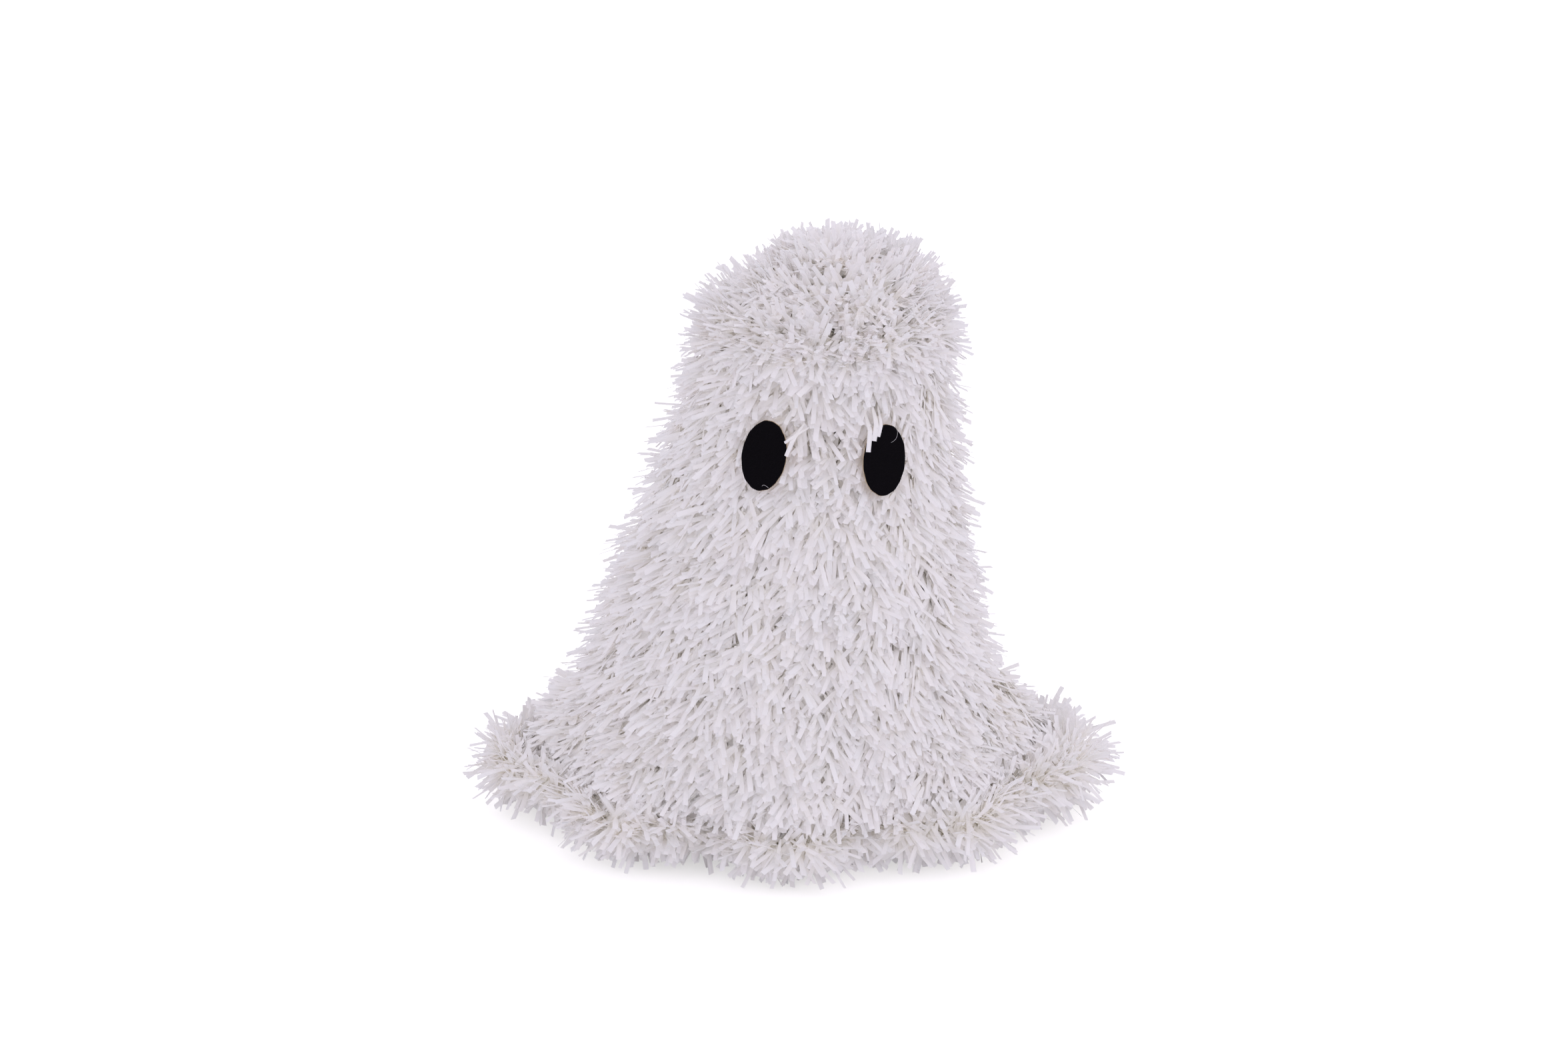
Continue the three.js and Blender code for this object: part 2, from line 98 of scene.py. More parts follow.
# %% Sizes of the bell and the garland
MM = 0.001
SHOULDER_RADIUS, SHOULDER_HEIGHT = 41.0, 244.0
SKIRT_RADIUS, SKIRT_HEIGHT = 86.0, 60.0
WAIST_DRAW = 3.0
CROWN_RING_RADIUS = 6.0
DOME_ROWS, BODY_ROWS = 3, 6
SKIRT_ROW = DOME_ROWS + BODY_ROWS
RIBS = 8
HEM_FRONT, HEM_SIDE, HEM_WAVE = 97.0, 134.0, 9.0
LEAN_TOP, LEAN_FROM, LEAN_TO, LEAN_CURVE = 22.4, 60.0, 275.0, 1.7
FRAME_WIRE, CORE_WIRE, TIE_WIRE, GAP = 3.0, 2.4, 0.6, 0.3
CORE_DEPTH = FRAME_WIRE / 2 + GAP + CORE_WIRE / 2
GARLAND_RADIUS, TIP_STAND_OUT = 23.5, 5.0
ROPE_RADIUS, ROPE_CLEAR = 23.0, 1.0
CLIMB_SHARE = 1 / 6
START_ANGLE = 210.0
BELL_SPAN = SHOULDER_HEIGHT - SKIRT_HEIGHT
BELL_GROWTH = SKIRT_RADIUS - SHOULDER_RADIUS
SHOULDER_SLOPE = np.arctan2(BELL_GROWTH - 4 * WAIST_DRAW, BELL_SPAN)
DOME_RADIUS = SHOULDER_RADIUS / np.cos(SHOULDER_SLOPE)
DOME_CENTRE = SHOULDER_HEIGHT - DOME_RADIUS * np.sin(SHOULDER_SLOPE)
print("dome radius", round(DOME_RADIUS, 2), "mm, centre", round(DOME_CENTRE, 2), "mm up")


# %% Points on the leaning bell
def place(angle, r, z):
    """A point at an angle from the front (-Y) towards +X, a distance from the axis and a
    height. Above LEAN_FROM the axis moves to +X by a power of the height."""
    a = np.radians(angle)
    share = np.maximum(0, (z - LEAN_FROM) / (LEAN_TO - LEAN_FROM))
    shift = LEAN_TOP * share**LEAN_CURVE
    return np.stack(np.broadcast_arrays(r * np.sin(a) + shift, -r * np.cos(a), z), -1)


def outward(angle, slope):
    """Unit vectors at an angle round the body that rise by a slope in radians."""
    a = np.radians(angle)
    x, y = np.cos(slope) * np.sin(a), -np.cos(slope) * np.cos(a)
    return np.stack(np.broadcast_arrays(x, y, np.sin(slope)), -1)


def hem_reach(angle):
    """Distance from the axis to the hem rope's core: wide at the sides by the fourth power of
    the sine, with one lobe at each rib by a cosine."""
    a = np.radians(angle)
    return HEM_FRONT + (HEM_SIDE - HEM_FRONT) * np.sin(a) ** 4 + HEM_WAVE * np.cos(RIBS * a)


def leg_direction(angle):
    """Elevation of the line from the rope's core up to the skirt hoop."""
    return np.arctan2(SKIRT_HEIGHT - ROPE_RADIUS, SKIRT_RADIUS - hem_reach(angle))


print("the hem's core lies", hem_reach(0.0), "mm out at the front rib")


# %% Rows on the bell
def frame_ray(u, angle):
    """Distance, height and outward elevation of the rib line at row u, counted down from the
    crown: a quarter circle on the dome, a parabola on the bell, a straight line to the rope."""
    u, angle = np.broadcast_arrays(np.asarray(u, float), np.asarray(angle, float))
    polar = u / DOME_ROWS * (np.pi / 2 - SHOULDER_SLOPE)
    t = np.clip((u - DOME_ROWS) / BODY_ROWS, 0, 1)
    r = SHOULDER_RADIUS + BELL_GROWTH * t - 4 * WAIST_DRAW * t * (1 - t)
    z = SHOULDER_HEIGHT - BELL_SPAN * t
    slope = np.arctan2(BELL_GROWTH - 4 * WAIST_DRAW * (1 - 2 * t), BELL_SPAN)
    s = np.clip(u - SKIRT_ROW, 0, 1)
    leg, clear = leg_direction(angle), ROPE_RADIUS + ROPE_CLEAR
    r = r + s * (hem_reach(angle) + clear * np.cos(leg) - r)
    z = z + s * (ROPE_RADIUS + clear * np.sin(leg) - z)
    slope = slope + s * (leg - np.pi / 2 - slope)
    dome = u < DOME_ROWS
    r = np.where(dome, DOME_RADIUS * np.sin(polar), r)
    z = np.where(dome, DOME_CENTRE + DOME_RADIUS * np.cos(polar), z)
    return r, z, np.where(dome, np.pi / 2 - polar, slope)


def on_rib(u, angle, depth=0.0):
    """The point at row u and an angle, at a depth out from the ribs' line."""
    r, z, slope = frame_ray(u, angle)
    return place(angle, r + depth * np.cos(slope), z + depth * np.sin(slope))


def row_at(turn):
    """The row that the winding lies in: level for five sixths of a turn, then a climb."""
    whole = np.floor(turn + 1e-9)
    return whole + 0.5 + np.clip((turn - whole - (1 - CLIMB_SHARE)) / CLIMB_SHARE, 0, 1)


print("the dome's top is at", np.round(on_rib(0.0, 0.0), 1), "mm")


# %% The line that each length of garland follows
def unit(v):
    """Vectors along the last axis, brought to length one."""
    return v / np.maximum(np.linalg.norm(v, axis=-1, keepdims=True), 1e-9)


def swing(angle, a, b):
    """The direction a turned towards b by each angle: its cosine times a and sine times b."""
    return np.cos(angle)[..., None] * a + np.sin(angle)[..., None] * b


def body_core(first_turn, last_turn, step=0.002):
    """Points along the body winding's core and the outward direction at each: half way
    between the rows that bound it, CORE_DEPTH outside the rib line."""
    turn = np.arange(first_turn, last_turn, step)
    angle = START_ANGLE + 360 * turn
    lower = np.minimum(SKIRT_ROW + 1, row_at(turn) + 0.5)
    upper = np.where(turn < 1, row_at(turn) - 0.5, row_at(np.maximum(turn - 1, 0)) + 0.5)
    middle = (upper + lower) / 2
    return on_rib(middle, angle, CORE_DEPTH), outward(angle, frame_ray(middle, angle)[2])


def hem_core(first_angle, last_angle, step=0.5):
    """The hem rope's core and its outward direction, level, at ROPE_RADIUS off the ground."""
    angle = np.arange(first_angle, last_angle + step / 2, step)
    points = place(angle, hem_reach(angle), ROPE_RADIUS)
    along = unit(np.gradient(points, axis=0))
    return points, np.stack([along[:, 1], -along[:, 0], along[:, 2]], -1)


def line_length(points):
    """Length along a line of points up to each of them."""
    return np.concatenate([[0], np.cumsum(np.linalg.norm(np.diff(points, axis=0), axis=1))])


LAST_TURN = SKIRT_ROW + 1 - CLIMB_SHARE / 3
for name, line in (("body", body_core(0, LAST_TURN)[0]), ("hem", hem_core(0, 360)[0])):
    print(name, "garland:", round(line_length(line)[-1] * MM, 2), "m")

# %% [markdown]
# ## From numbers to meshes
# Blender takes a mesh as flat arrays: the corners' places, the corners of each face, and
# where each face starts. Handing over whole arrays is far quicker than a face at a time,
# which counts here, because the garland has tens of thousands of strips.


# %% Make a mesh and a piece
def make_mesh(name, points, quads, triangles=None, smooth=False):
    """A mesh from points in millimetres, four-cornered faces and three-cornered faces. Faces
    are flat unless smooth says that their shading runs on over the edges."""
    triangles = np.zeros((0, 3), int) if triangles is None else triangles
    corners = np.concatenate([quads.ravel(), triangles.ravel()])
    fours = np.arange(len(quads)) * 4
    threes = len(quads) * 4 + np.arange(len(triangles)) * 3
    mesh = bpy.data.meshes.new(name)
    mesh.vertices.add(len(points))
    mesh.vertices.foreach_set("co", (points * MM).astype(np.float32).ravel())
    mesh.loops.add(len(corners))
    mesh.loops.foreach_set("vertex_index", corners.astype(np.int32))
    mesh.polygons.add(len(quads) + len(triangles))
    mesh.polygons.foreach_set("loop_start", np.concatenate([fours, threes]).astype(np.int32))
    mesh.polygons.foreach_set("use_smooth", np.full(len(mesh.polygons), smooth))
    mesh.update(calc_edges=True)
    return mesh


def make_piece(name, mesh, material, slot, *nodes):
    """A piece that rides on the ghost's one body and stands for the frame's nodes."""
    mesh.materials.append(material)
    piece = new_object(name, mesh)
    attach(piece, "root")
    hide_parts(*nodes)
    return piece


def smooth_piece(name, part, material, slot, node):
    """A smooth piece from its points, quads and triangles, for one node."""
    return make_piece(name, make_mesh(name, *part, smooth=True), material, slot, node)


def set_values(mesh, name, values):
    """One number for each corner of the mesh, which a material can read by its name."""
    attribute = mesh.attributes.new(name, "FLOAT", "POINT")
    attribute.data.foreach_set("value", values.astype(np.float32).ravel())


print("a mesh counts in metres, so", round(1 / MM), "mm make one")


# %% A tube carried along a line
def ring_faces(rings, sides, closed=False):
    """Quads between neighbouring rings of points, and fans that close the first and the last
    ring. A closed tube has no fans: its last ring joins its first."""
    i, j = np.meshgrid(np.arange(rings if closed else rings - 1), np.arange(sides), indexing="ij")
    below, above = i * sides, (i + 1) % rings * sides
    after = (j + 1) % sides
    quads = np.stack([below + j, below + after, above + after, above + j], -1).reshape(-1, 4)
    if closed:
        return quads, np.zeros((0, 3), int)
    k = np.arange(1, sides - 1)
    last = (rings - 1) * sides
    front = np.stack([np.zeros_like(k), k + 1, k], -1)
    back = np.stack([np.full_like(k, last), last + k, last + k + 1], -1)
    return quads, np.concatenate([front, back])


def tube(points, out, radius, sides, closed=False):
    """Points and faces of a round tube. Each ring is a circle in the plane of the direction
    out, made square to the line, and the direction square to both. A flat fan closes each end
    of an open tube."""
    count = len(points)
    ahead = np.roll(points, -1, 0) - np.roll(points, 1, 0) if closed else np.gradient(points, axis=0)
    ahead = unit(ahead)
    out = unit(out - (out * ahead).sum(-1, keepdims=True) * ahead)
    side = np.cross(ahead, out)
    around = 2 * np.pi * np.arange(sides) / sides
    radius = np.broadcast_to(radius, (count,))[:, None, None]
    ring = swing(around, out[:, None], side[:, None])
    places = (points[:, None] + radius * ring).reshape(-1, 3)
    return places, *ring_faces(count, sides, closed)


def joined(parts):
    """Several (points, quads, triangles) as one, each with its own corners."""
    points = [part[0] for part in parts]
    starts = np.cumsum([0] + [len(p) for p in points[:-1]])
    quads = np.concatenate([part[1] + start for part, start in zip(parts, starts)])
    triangles = np.concatenate([part[2] + start for part, start in zip(parts, starts)])
    return np.concatenate(points), quads, triangles


print("a tube of 10 rings with 6 sides has", len(ring_faces(10, 6)[0]), "quads")

# %% [markdown]
# ## Finishes
# Each material begins with what the thing is made of. One function turns a colour that is
# written as a designer writes it into the linear numbers that a renderer adds up, and one
# adds a node with its settings and links.


# %% Colours and nodes
def colour(text):
    """A linear colour from an sRGB hex value: a straight part near black, a power above it."""
    c = np.array([int(text[k : k + 2], 16) / 255 for k in (1, 3, 5)])
    linear = np.where(c <= 0.04045, c / 12.92, ((c + 0.055) / 1.055) ** 2.4)
    return (*linear, 1.0)


def add_node(material, kind, values=None, links=None, **settings):
    """A node of that kind. values fill its inputs, links join outputs of other nodes to them,
    and settings are its own."""
    node = material.node_tree.nodes.new(kind)
    for name, value in settings.items():
        setattr(node, name, value)
    for name, value in (values or {}).items():
        node.inputs[name].default_value = value
    for name, source in (links or {}).items():
        material.node_tree.links.new(source, node.inputs[name])
    return node


def new_material(name):
    """An empty material with its output node, and a function that sets its surface."""
    material = bpy.data.materials.new(name)
    material.use_nodes = True
    material.node_tree.nodes.clear()
    output = add_node(material, "ShaderNodeOutputMaterial")

    def finish(shader):
        """Joins the last shader to the output."""
        material.node_tree.links.new(shader.outputs[0], output.inputs["Surface"])
        return material

    return material, finish


print("#808080 gives", round(colour("#808080")[0], 3), "of white's light")


# %% Ramps, noise and bumps
def ramp(material, factor, stops):
    """Colours from a factor: stops are (place, sRGB hex) pairs."""
    node = add_node(material, "ShaderNodeValToRGB", links={"Fac": factor})
    while len(node.color_ramp.elements) < len(stops):
        node.color_ramp.elements.new(0.5)
    for element, (place_on, text) in zip(node.color_ramp.elements, stops):
        element.position = place_on
        element.color = colour(text)
    return node.outputs["Color"]


def number_between(material, factor, low, high):
    """A number that goes evenly from low to high as the factor goes from zero to one."""
    ends = {"To Min": low, "To Max": high}
    return add_node(material, "ShaderNodeMapRange", ends, {"Value": factor}).outputs["Result"]


def noise_of(material, size_mm, **values):
    """Noise on the piece's own coordinates, with patches of about size_mm."""
    values["Scale"] = 1 / (size_mm * MM)
    where = {"Vector": add_node(material, "ShaderNodeTexCoord").outputs["Object"]}
    return add_node(material, "ShaderNodeTexNoise", values, where).outputs["Fac"]


def bump_from(material, height, strength, depth_mm):
    """The surface's direction when a height of up to depth_mm is laid on it."""
    values = {"Strength": strength, "Distance": depth_mm * MM}
    return add_node(material, "ShaderNodeBump", values, {"Height": height}).outputs["Normal"]


print("noise with patches of 1 mm has a scale of", round(1 / MM))

# %% [markdown]
# ### PVC film
# Tinsel strips are slit from white PVC film: a satin plastic, a little see-through, with
# fine draw lines along its length. No two strips catch the light alike, so each strip
# carries a number of its own, its tone, and the material turns it to a slightly cooler or
# warmer white and to a duller or glossier finish.

# %% White PVC film, slit
FILM_WHITES = [(0.0, "#fcfdfe"), (0.35, "#fefefe"), (0.7, "#fefdfe"), (1.0, "#fefdfb")]
# Painted shade: a creamier white for the strips' roots, deep in the pile where shade falls
FILM_SHADE_AT_ROOT = "#fdfcf8"
FILM_ROUGHNESS = (0.5, 0.7)
FILM_IOR, FILM_SCATTER, FILM_SCATTER_MM = 1.53, 0.2, 0.2
DRAW_LINE_MM = 0.35


def pvc_film():
    """Colour and gloss go from one end to the other with a strip's tone, the colour turns
    to a creamier white towards the root, painted shade deep in the pile, and the bump is
    noise as fine as the draw lines."""
    material, finish = new_material("pvc_film_slit")
    tone = add_node(material, "ShaderNodeAttribute", attribute_name="tone").outputs["Fac"]
    reach = add_node(material, "ShaderNodeAttribute", attribute_name="reach").outputs["Fac"]
    tint = ramp(material, tone, FILM_WHITES)
    # Painted shade: the colour turns creamier towards each strip's root, deep in the pile
    root_shade = add_node(
        material,
        "ShaderNodeMix",
        {"B": colour(FILM_SHADE_AT_ROOT)},
        {"Factor": reach, "A": tint},
        data_type="RGBA",
    )
    rough = number_between(material, tone, *FILM_ROUGHNESS)
    lines = noise_of(material, DRAW_LINE_MM, Detail=2.0)
    normal = bump_from(material, lines, 0.25, 0.05)
    shader = add_node(
        material,
        "ShaderNodeBsdfPrincipled",
        {
            "IOR": FILM_IOR,
            "Subsurface Weight": FILM_SCATTER,
            "Subsurface Radius": (1.0, 1.0, 1.0),
            "Subsurface Scale": FILM_SCATTER_MM * MM,
        },
        {"Base Color": root_shade.outputs["Result"], "Roughness": rough, "Normal": normal},
    )
    return finish(shader)


film = pvc_film()
print("made", film.name)

# %% [markdown]
# ### Felt, glue and wire
# The eyes are black craft felt: matt, with a soft bloom at grazing angles from loose
# fibres. Their cut edge shows a thin pale backing. The glue is dried hot glue, the frame is
# painted steel, and the core and the ties are galvanised steel.


# %% The other finishes
def felt(name, dark, light, fibre_mm):
    """Matted fibres: one noise at the fibre's scale gives the colour and the bump."""
    material, finish = new_material(name)
    fibres = noise_of(material, fibre_mm, Detail=4.0, Roughness=0.7, Distortion=1.5)
    tint = ramp(material, fibres, [(0.35, dark), (0.75, light)])
    shader = add_node(
        material,
        "ShaderNodeBsdfPrincipled",
        {"Roughness": 0.95, "Specular IOR Level": 0.02, "Sheen Weight": 0.01, "Sheen Roughness": 0.6},
        {"Base Color": tint, "Normal": bump_from(material, fibres, 0.5, 0.2)},
    )
    return finish(shader)


def coated(name, dark, light, blotch_mm, rough, metallic, bump_mm):
    """A coat or a bare metal: slow blotches of colour and gloss, and a shallow unevenness."""
    material, finish = new_material(name)
    blotch = noise_of(material, blotch_mm, Detail=3.0)
    shader = add_node(
        material,
        "ShaderNodeBsdfPrincipled",
        {"Metallic": metallic},
        {
            "Base Color": ramp(material, blotch, [(0.3, dark), (0.7, light)]),
            "Roughness": number_between(material, blotch, *rough),
            "Normal": bump_from(material, blotch, 0.4, bump_mm),
        },
    )
    return finish(shader)


black_felt = felt("black_craft_felt", "#0a090b", "#161418", 0.5)
pale_backing = felt("pale_felt_backing", "#c9b394", "#e0d0b6", 0.4)
dried_glue = coated("dried_hot_glue", "#d8ccb4", "#e6dcc8", 3.0, (0.3, 0.5), 0.0, 0.2)
paint = coated("white_enamel_on_steel", "#dcdcd8", "#ecece8", 6.0, (0.3, 0.5), 0.0, 0.05)
zinc = coated("galvanised_steel", "#a9acb0", "#c6c8ca", 1.5, (0.3, 0.55), 1.0, 0.03)
print("made", [finish.name for finish in (black_felt, pale_backing, dried_glue, paint, zinc)])

# %% [markdown]
# ## Strips of film
# A garland is made by holding a fringed tape of film between two wires and twisting them.
# Each strip is then pinched at the core and stands out from it. A flat ribbon with no
# thickness would have no inside, so each strip here is a closed ribbon of three sides with a
# low ridge, like film with a slight crease. It has five rings of three corners and 26 small
# triangles. All strips of a row are worked out at once.

# %% The faces that every strip shares
RINGS = 5
SIDES = 3
CORNERS = RINGS * SIDES
STRIP_QUADS, STRIP_ENDS = ring_faces(RINGS, SIDES)
SIDE_ON_MAP = 0.94
END_ON_MAP = 0.06
END_SLIVERS = [[0.0, 0.0], [0.5, 0.04], [0.9, 0.0], [0.0, 1.0], [0.9, 1.0], [0.5, 0.96]]


def strip_map():
    """Where each corner of each face lies on a strip's own small map: the three sides lie
    side by side, and each end is a sliver at its end of the map."""
    spots = []
    levels = END_ON_MAP + (1 - 2 * END_ON_MAP) * np.arange(RINGS) / (RINGS - 1)
    for low, high in zip(levels[:-1], levels[1:]):
        for j in range(SIDES):
            left, right = j / SIDES, (j + SIDE_ON_MAP) / SIDES
            spots += [[left, low], [right, low], [right, high], [left, high]]
    return np.array(spots + END_SLIVERS)


STRIP_MAP = strip_map()
print("a strip has", 2 * len(STRIP_QUADS) + len(STRIP_ENDS), "triangles")


# %% The middle lines of the strips
def strip_lines(root, along, out, fan, bend, lean, length):
    """Middle lines of strips, one point a ring. A strip starts in the plane square to the
    core, fan radians down from the outward direction, turns by bend on its way, and leans
    back along the core by a share of its length."""
    down = np.cross(along, out)
    share = (np.arange(RINGS - 1) + 0.5) / (RINGS - 1)
    turned = fan[:, None] + bend[:, None] * share
    heading = swing(turned, out[:, None], down[:, None])
    heading = unit(heading - lean[:, None, None] * along[:, None])
    steps = heading * (length[:, None, None] / (RINGS - 1))
    start = root[:, None]
    return np.concatenate([start, start + np.cumsum(steps, axis=1)], axis=1)


x_axis, z_axis, zero = np.array([[1.0, 0.0, 0.0]]), np.array([[0.0, 0.0, 1.0]]), np.zeros(1)
straight = strip_lines(0 * x_axis, x_axis, z_axis, zero, zero, zero, zero + 20.0)
print("rings of a straight strip of 20 mm stand at", straight[0, :, 2], "mm")


# %% Ribbons along the middle lines
PINCH = np.array([0.45, 0.9, 1.0, 1.0, 1.0])


def ribbons(lines, along, width, ridge, roll, twist, cut):
    """Closed ribbons on middle lines. The width lies along the core, turned about the strip
    by roll and a twist that grows to the tip, and is pinched at the root. The ridge stands
    square to it. cut slants the end."""
    ahead = unit(np.gradient(lines, axis=1))
    across = along[:, None] - (along[:, None] * ahead).sum(-1, keepdims=True) * ahead
    across = unit(across)
    turned = roll[:, None] + twist[:, None] * np.linspace(0, 1, RINGS)
    wide = swing(turned, across, np.cross(ahead, across))
    high = np.cross(ahead, wide)
    half = (width[:, None] * PINCH / 2)[..., None]
    slant = np.zeros((1, RINGS, 1))
    slant[:, -1] = 1
    slant = slant * (cut * width)[:, None, None] * ahead
    left = lines - half * wide - slant
    right = lines + half * wide + slant
    crest = lines + (ridge[:, None] * PINCH)[..., None] * high
    return np.stack([left, right, crest], axis=2)


print("at its root a strip is pinched to", PINCH[0], "of its width")


# %% A mesh from many ribbons
CELL_TALL = 5
CELL_EDGE, CELL_SPAN = 0.03, 0.94


def strip_mesh(name, corners, tone):
    """One mesh of all ribbons, with each strip's tone, its reach (one at the root and zero at
    the tip), and a map in which every strip has a cell of its own, CELL_TALL times as tall as
    it is wide."""
    count = len(corners)
    first = (np.arange(count) * CORNERS)[:, None, None]
    quads = (STRIP_QUADS[None] + first).reshape(-1, 4)
    ends = (STRIP_ENDS[None] + first).reshape(-1, 3)
    mesh = make_mesh(name, corners.reshape(-1, 3), quads, ends)
    set_values(mesh, "tone", np.repeat(tone, CORNERS))
    set_values(mesh, "reach", np.tile(np.repeat(1 - np.linspace(0, 1, RINGS), SIDES), count))
    columns = int(np.ceil(np.sqrt(CELL_TALL * count)))
    rows = int(np.ceil(count / columns))
    cell = np.stack([np.arange(count) % columns, np.arange(count) // columns], -1)
    spots = (cell[:, None] + CELL_EDGE + CELL_SPAN * STRIP_MAP[None]) / [columns, rows]
    on_quads = len(STRIP_QUADS) * 4
    spots = np.concatenate([spots[:, :on_quads].reshape(-1, 2), spots[:, on_quads:].reshape(-1, 2)])
    mesh.uv_layers.new(name="OFBake").data.foreach_set("uv", spots.astype(np.float32).ravel())
    return mesh


print("a strip's cell on the map is", CELL_TALL, "times as tall as it is wide")

# %% [markdown]
# ## The eyes' places
# The eyes are glued on the pile, so the strips under them lie flat and the strips beside
# them stand up again. The eyes' places are needed before the strips for that.

# %% Where the eyes sit
EYE_WIDTH, EYE_HEIGHT = 22.5, 34.5
FELT_THICKNESS, PAD_THICKNESS, PAD_SHARE = 1.5, 1.2, 0.62
PAD_DEPTH = CORE_DEPTH + GARLAND_RADIUS - TIP_STAND_OUT + GAP
FELT_DEPTH = PAD_DEPTH + PAD_THICKNESS + GAP
EYES = {"left": (-20.2, 210.5, 7.4), "right": (27.5, 207.2, 9.5)}


def eye_axes(angle, height, tilt, depth):
    """Centre of an eye at a depth out from the ribs, and its own directions: across, up its
    tilted long axis, and out of the face. The row is looked up twice, because the eye's
    height is that of the felt and not of the rib behind it."""
    row = DOME_ROWS + BODY_ROWS * (SHOULDER_HEIGHT - height) / BELL_SPAN
    level = height - depth * np.sin(frame_ray(row, angle)[2])
    row = DOME_ROWS + BODY_ROWS * (SHOULDER_HEIGHT - level) / BELL_SPAN
    out = outward(angle, frame_ray(row, angle)[2])
    across = np.array([np.cos(np.radians(angle)), np.sin(np.radians(angle)), 0.0])
    up = np.cross(out, across)
    c, s = np.cos(np.radians(tilt)), np.sin(np.radians(tilt))
    return on_rib(row, angle, depth), np.stack([c * across - s * up, s * across + c * up, out])


EYE_FRAMES = {side: eye_axes(*spot, FELT_DEPTH) for side, spot in EYES.items()}
for side, (centre, _) in EYE_FRAMES.items():
    print(side, "eye at", np.round(centre, 1), "mm")


# %% Press strips down under the eyes
PRESSED = 3.2
RISE_FROM, RISE_TO, RISE = 0.95, 1.4, 9.0
FREE, BEHIND = 100.0, 20.0


def press_under_eyes(lines, give):
    """Lowers points that stand too high near an eye. Under the felt they stay PRESSED below
    its back, past its edge the allowed height rises evenly with the distance, and from RISE_TO
    on it is FREE. Each strip gives way by a few tenths to a few millimetres more, so that they
    don't lie in one plane. Points more than BEHIND the eye are on the ghost's other side."""
    for centre, axes in EYE_FRAMES.values():
        local = (lines - centre) @ axes.T
        far = np.hypot(local[..., 0] / (EYE_WIDTH / 2), local[..., 1] / (EYE_HEIGHT / 2))
        share = np.clip((far - RISE_FROM) / (RISE_TO - RISE_FROM), 0, 1)
        most = RISE * share - PRESSED - give + np.where(far > RISE_TO, FREE, 0.0)
        near = local[..., 2] > -BEHIND
        drop = np.where(near, np.maximum(0, local[..., 2] - most), 0)
        lines = lines - drop[..., None] * axes[2]
    return lines


print("strips beside an eye rise to", round(RISE - PRESSED, 1), "mm over its back")

# %% [markdown]
# ## The garland on the body
# The strips stand out of the core in tufts of about nine, because the tape was cut and
# twisted in short lengths: the strips of a tuft are nearly parallel. On the body they are
# combed down and to the viewer's left. A few stand inwards, through the wires.

# %% Spread strips along a core
TUFT = 9


def along_core(points, out, where):
    """Place, direction and outward direction on a core at lengths along it."""
    length = line_length(points)
    ahead = np.gradient(points, axis=0)
    at = [
        np.stack([np.interp(where, length, values[:, k]) for k in range(3)], -1)
        for values in (points, ahead, out)
    ]
    ahead = unit(at[1])
    normal = unit(at[2] - (at[2] * ahead).sum(-1, keepdims=True) * ahead)
    return at[0], ahead, normal


def tufts(rng, count, spread, *ranges):
    """Values for strips in tufts: each tuft draws a value from a range (low, high), and its
    strips differ from it by a normal spread."""
    groups = max(1, count // TUFT)
    member = rng.integers(0, groups, count)
    return [
        rng.uniform(low, high, groups)[member] + rng.normal(0, s, count)
        for (low, high), s in zip(ranges, spread)
    ]


print("a tuft has about", TUFT, "strips")


# %% Strips of their own width, roll and tone
STRIP_WIDTH = (2.0, 2.8)
STRIP_RIDGE = (0.08, 0.16)
ROLL_DEGREES, TWIST_DEGREES = 12, 14
END_SLANT = 0.12
LOWEST = 0.05


def film_piece(name, rng, lines, along, node):
    """A piece of film strips on their middle lines. Width, ridge and tone are drawn evenly
    from their ranges, roll, twist and slant of the end normally, and half of the strips show
    the ridge on the other side. No corner goes below LOWEST."""
    count = len(lines)
    width = rng.uniform(*STRIP_WIDTH, count)
    ridge = rng.uniform(*STRIP_RIDGE, count)
    roll = np.radians(rng.normal(0, ROLL_DEGREES, count)) + np.pi * rng.integers(0, 2, count)
    twist = np.radians(rng.normal(0, TWIST_DEGREES, count))
    cut = rng.normal(0, END_SLANT, count)
    tone = rng.uniform(0, 1, count)
    corners = ribbons(lines, along, width, ridge, roll, twist, cut)
    corners[..., 2] = np.maximum(corners[..., 2], LOWEST)
    return make_piece(name, strip_mesh(name, corners, tone), film, "tinsel_film", node)


print("strips are", STRIP_WIDTH, "mm wide, and their ridges", STRIP_RIDGE, "mm high")

# %% How the body's strips stand
# Shares of the strips: through the wires, and laid flat
INWARD_SHARE, LAID_SHARE = 0.06, 0.35
# Spread within a tuft: mm along the core, fan, lean, bend, and kind of strip
BODY_SPREAD = (2.4, np.radians(7), 0.08, np.radians(5), 0)
# Fan (down from outwards) and bend in degrees, and lean as a share of the length
FAN, FAN_BELOW = {1: (-75, 60), 2: (-45, 68), 3: (-38, 76)}, (22, 82)
BODY_BEND, BODY_LEAN = (-3, 16), (-0.9, 0.9)
# How far the crown's rows are combed, with 1 for all the others
COMBED, COMBED_LEAN, LOOSE_LEAN = {1: 0.25, 2: 0.7}, 0.36, 1.5
LAID_FAN, LAID_FAN_SHARE = 72, 0.35
LAID_LEAN_SHARE, LAID_LEAN_BACK = 1.2, 0.1
INWARD_FAN = (120, 250)
# Strips for each mm of core, more of them on the dome, and at most 197,600 triangles a piece
STRIPS_PER_MM, CROWN_DENSITY, MOST_STRIPS = 12.0, 1.7, 7600


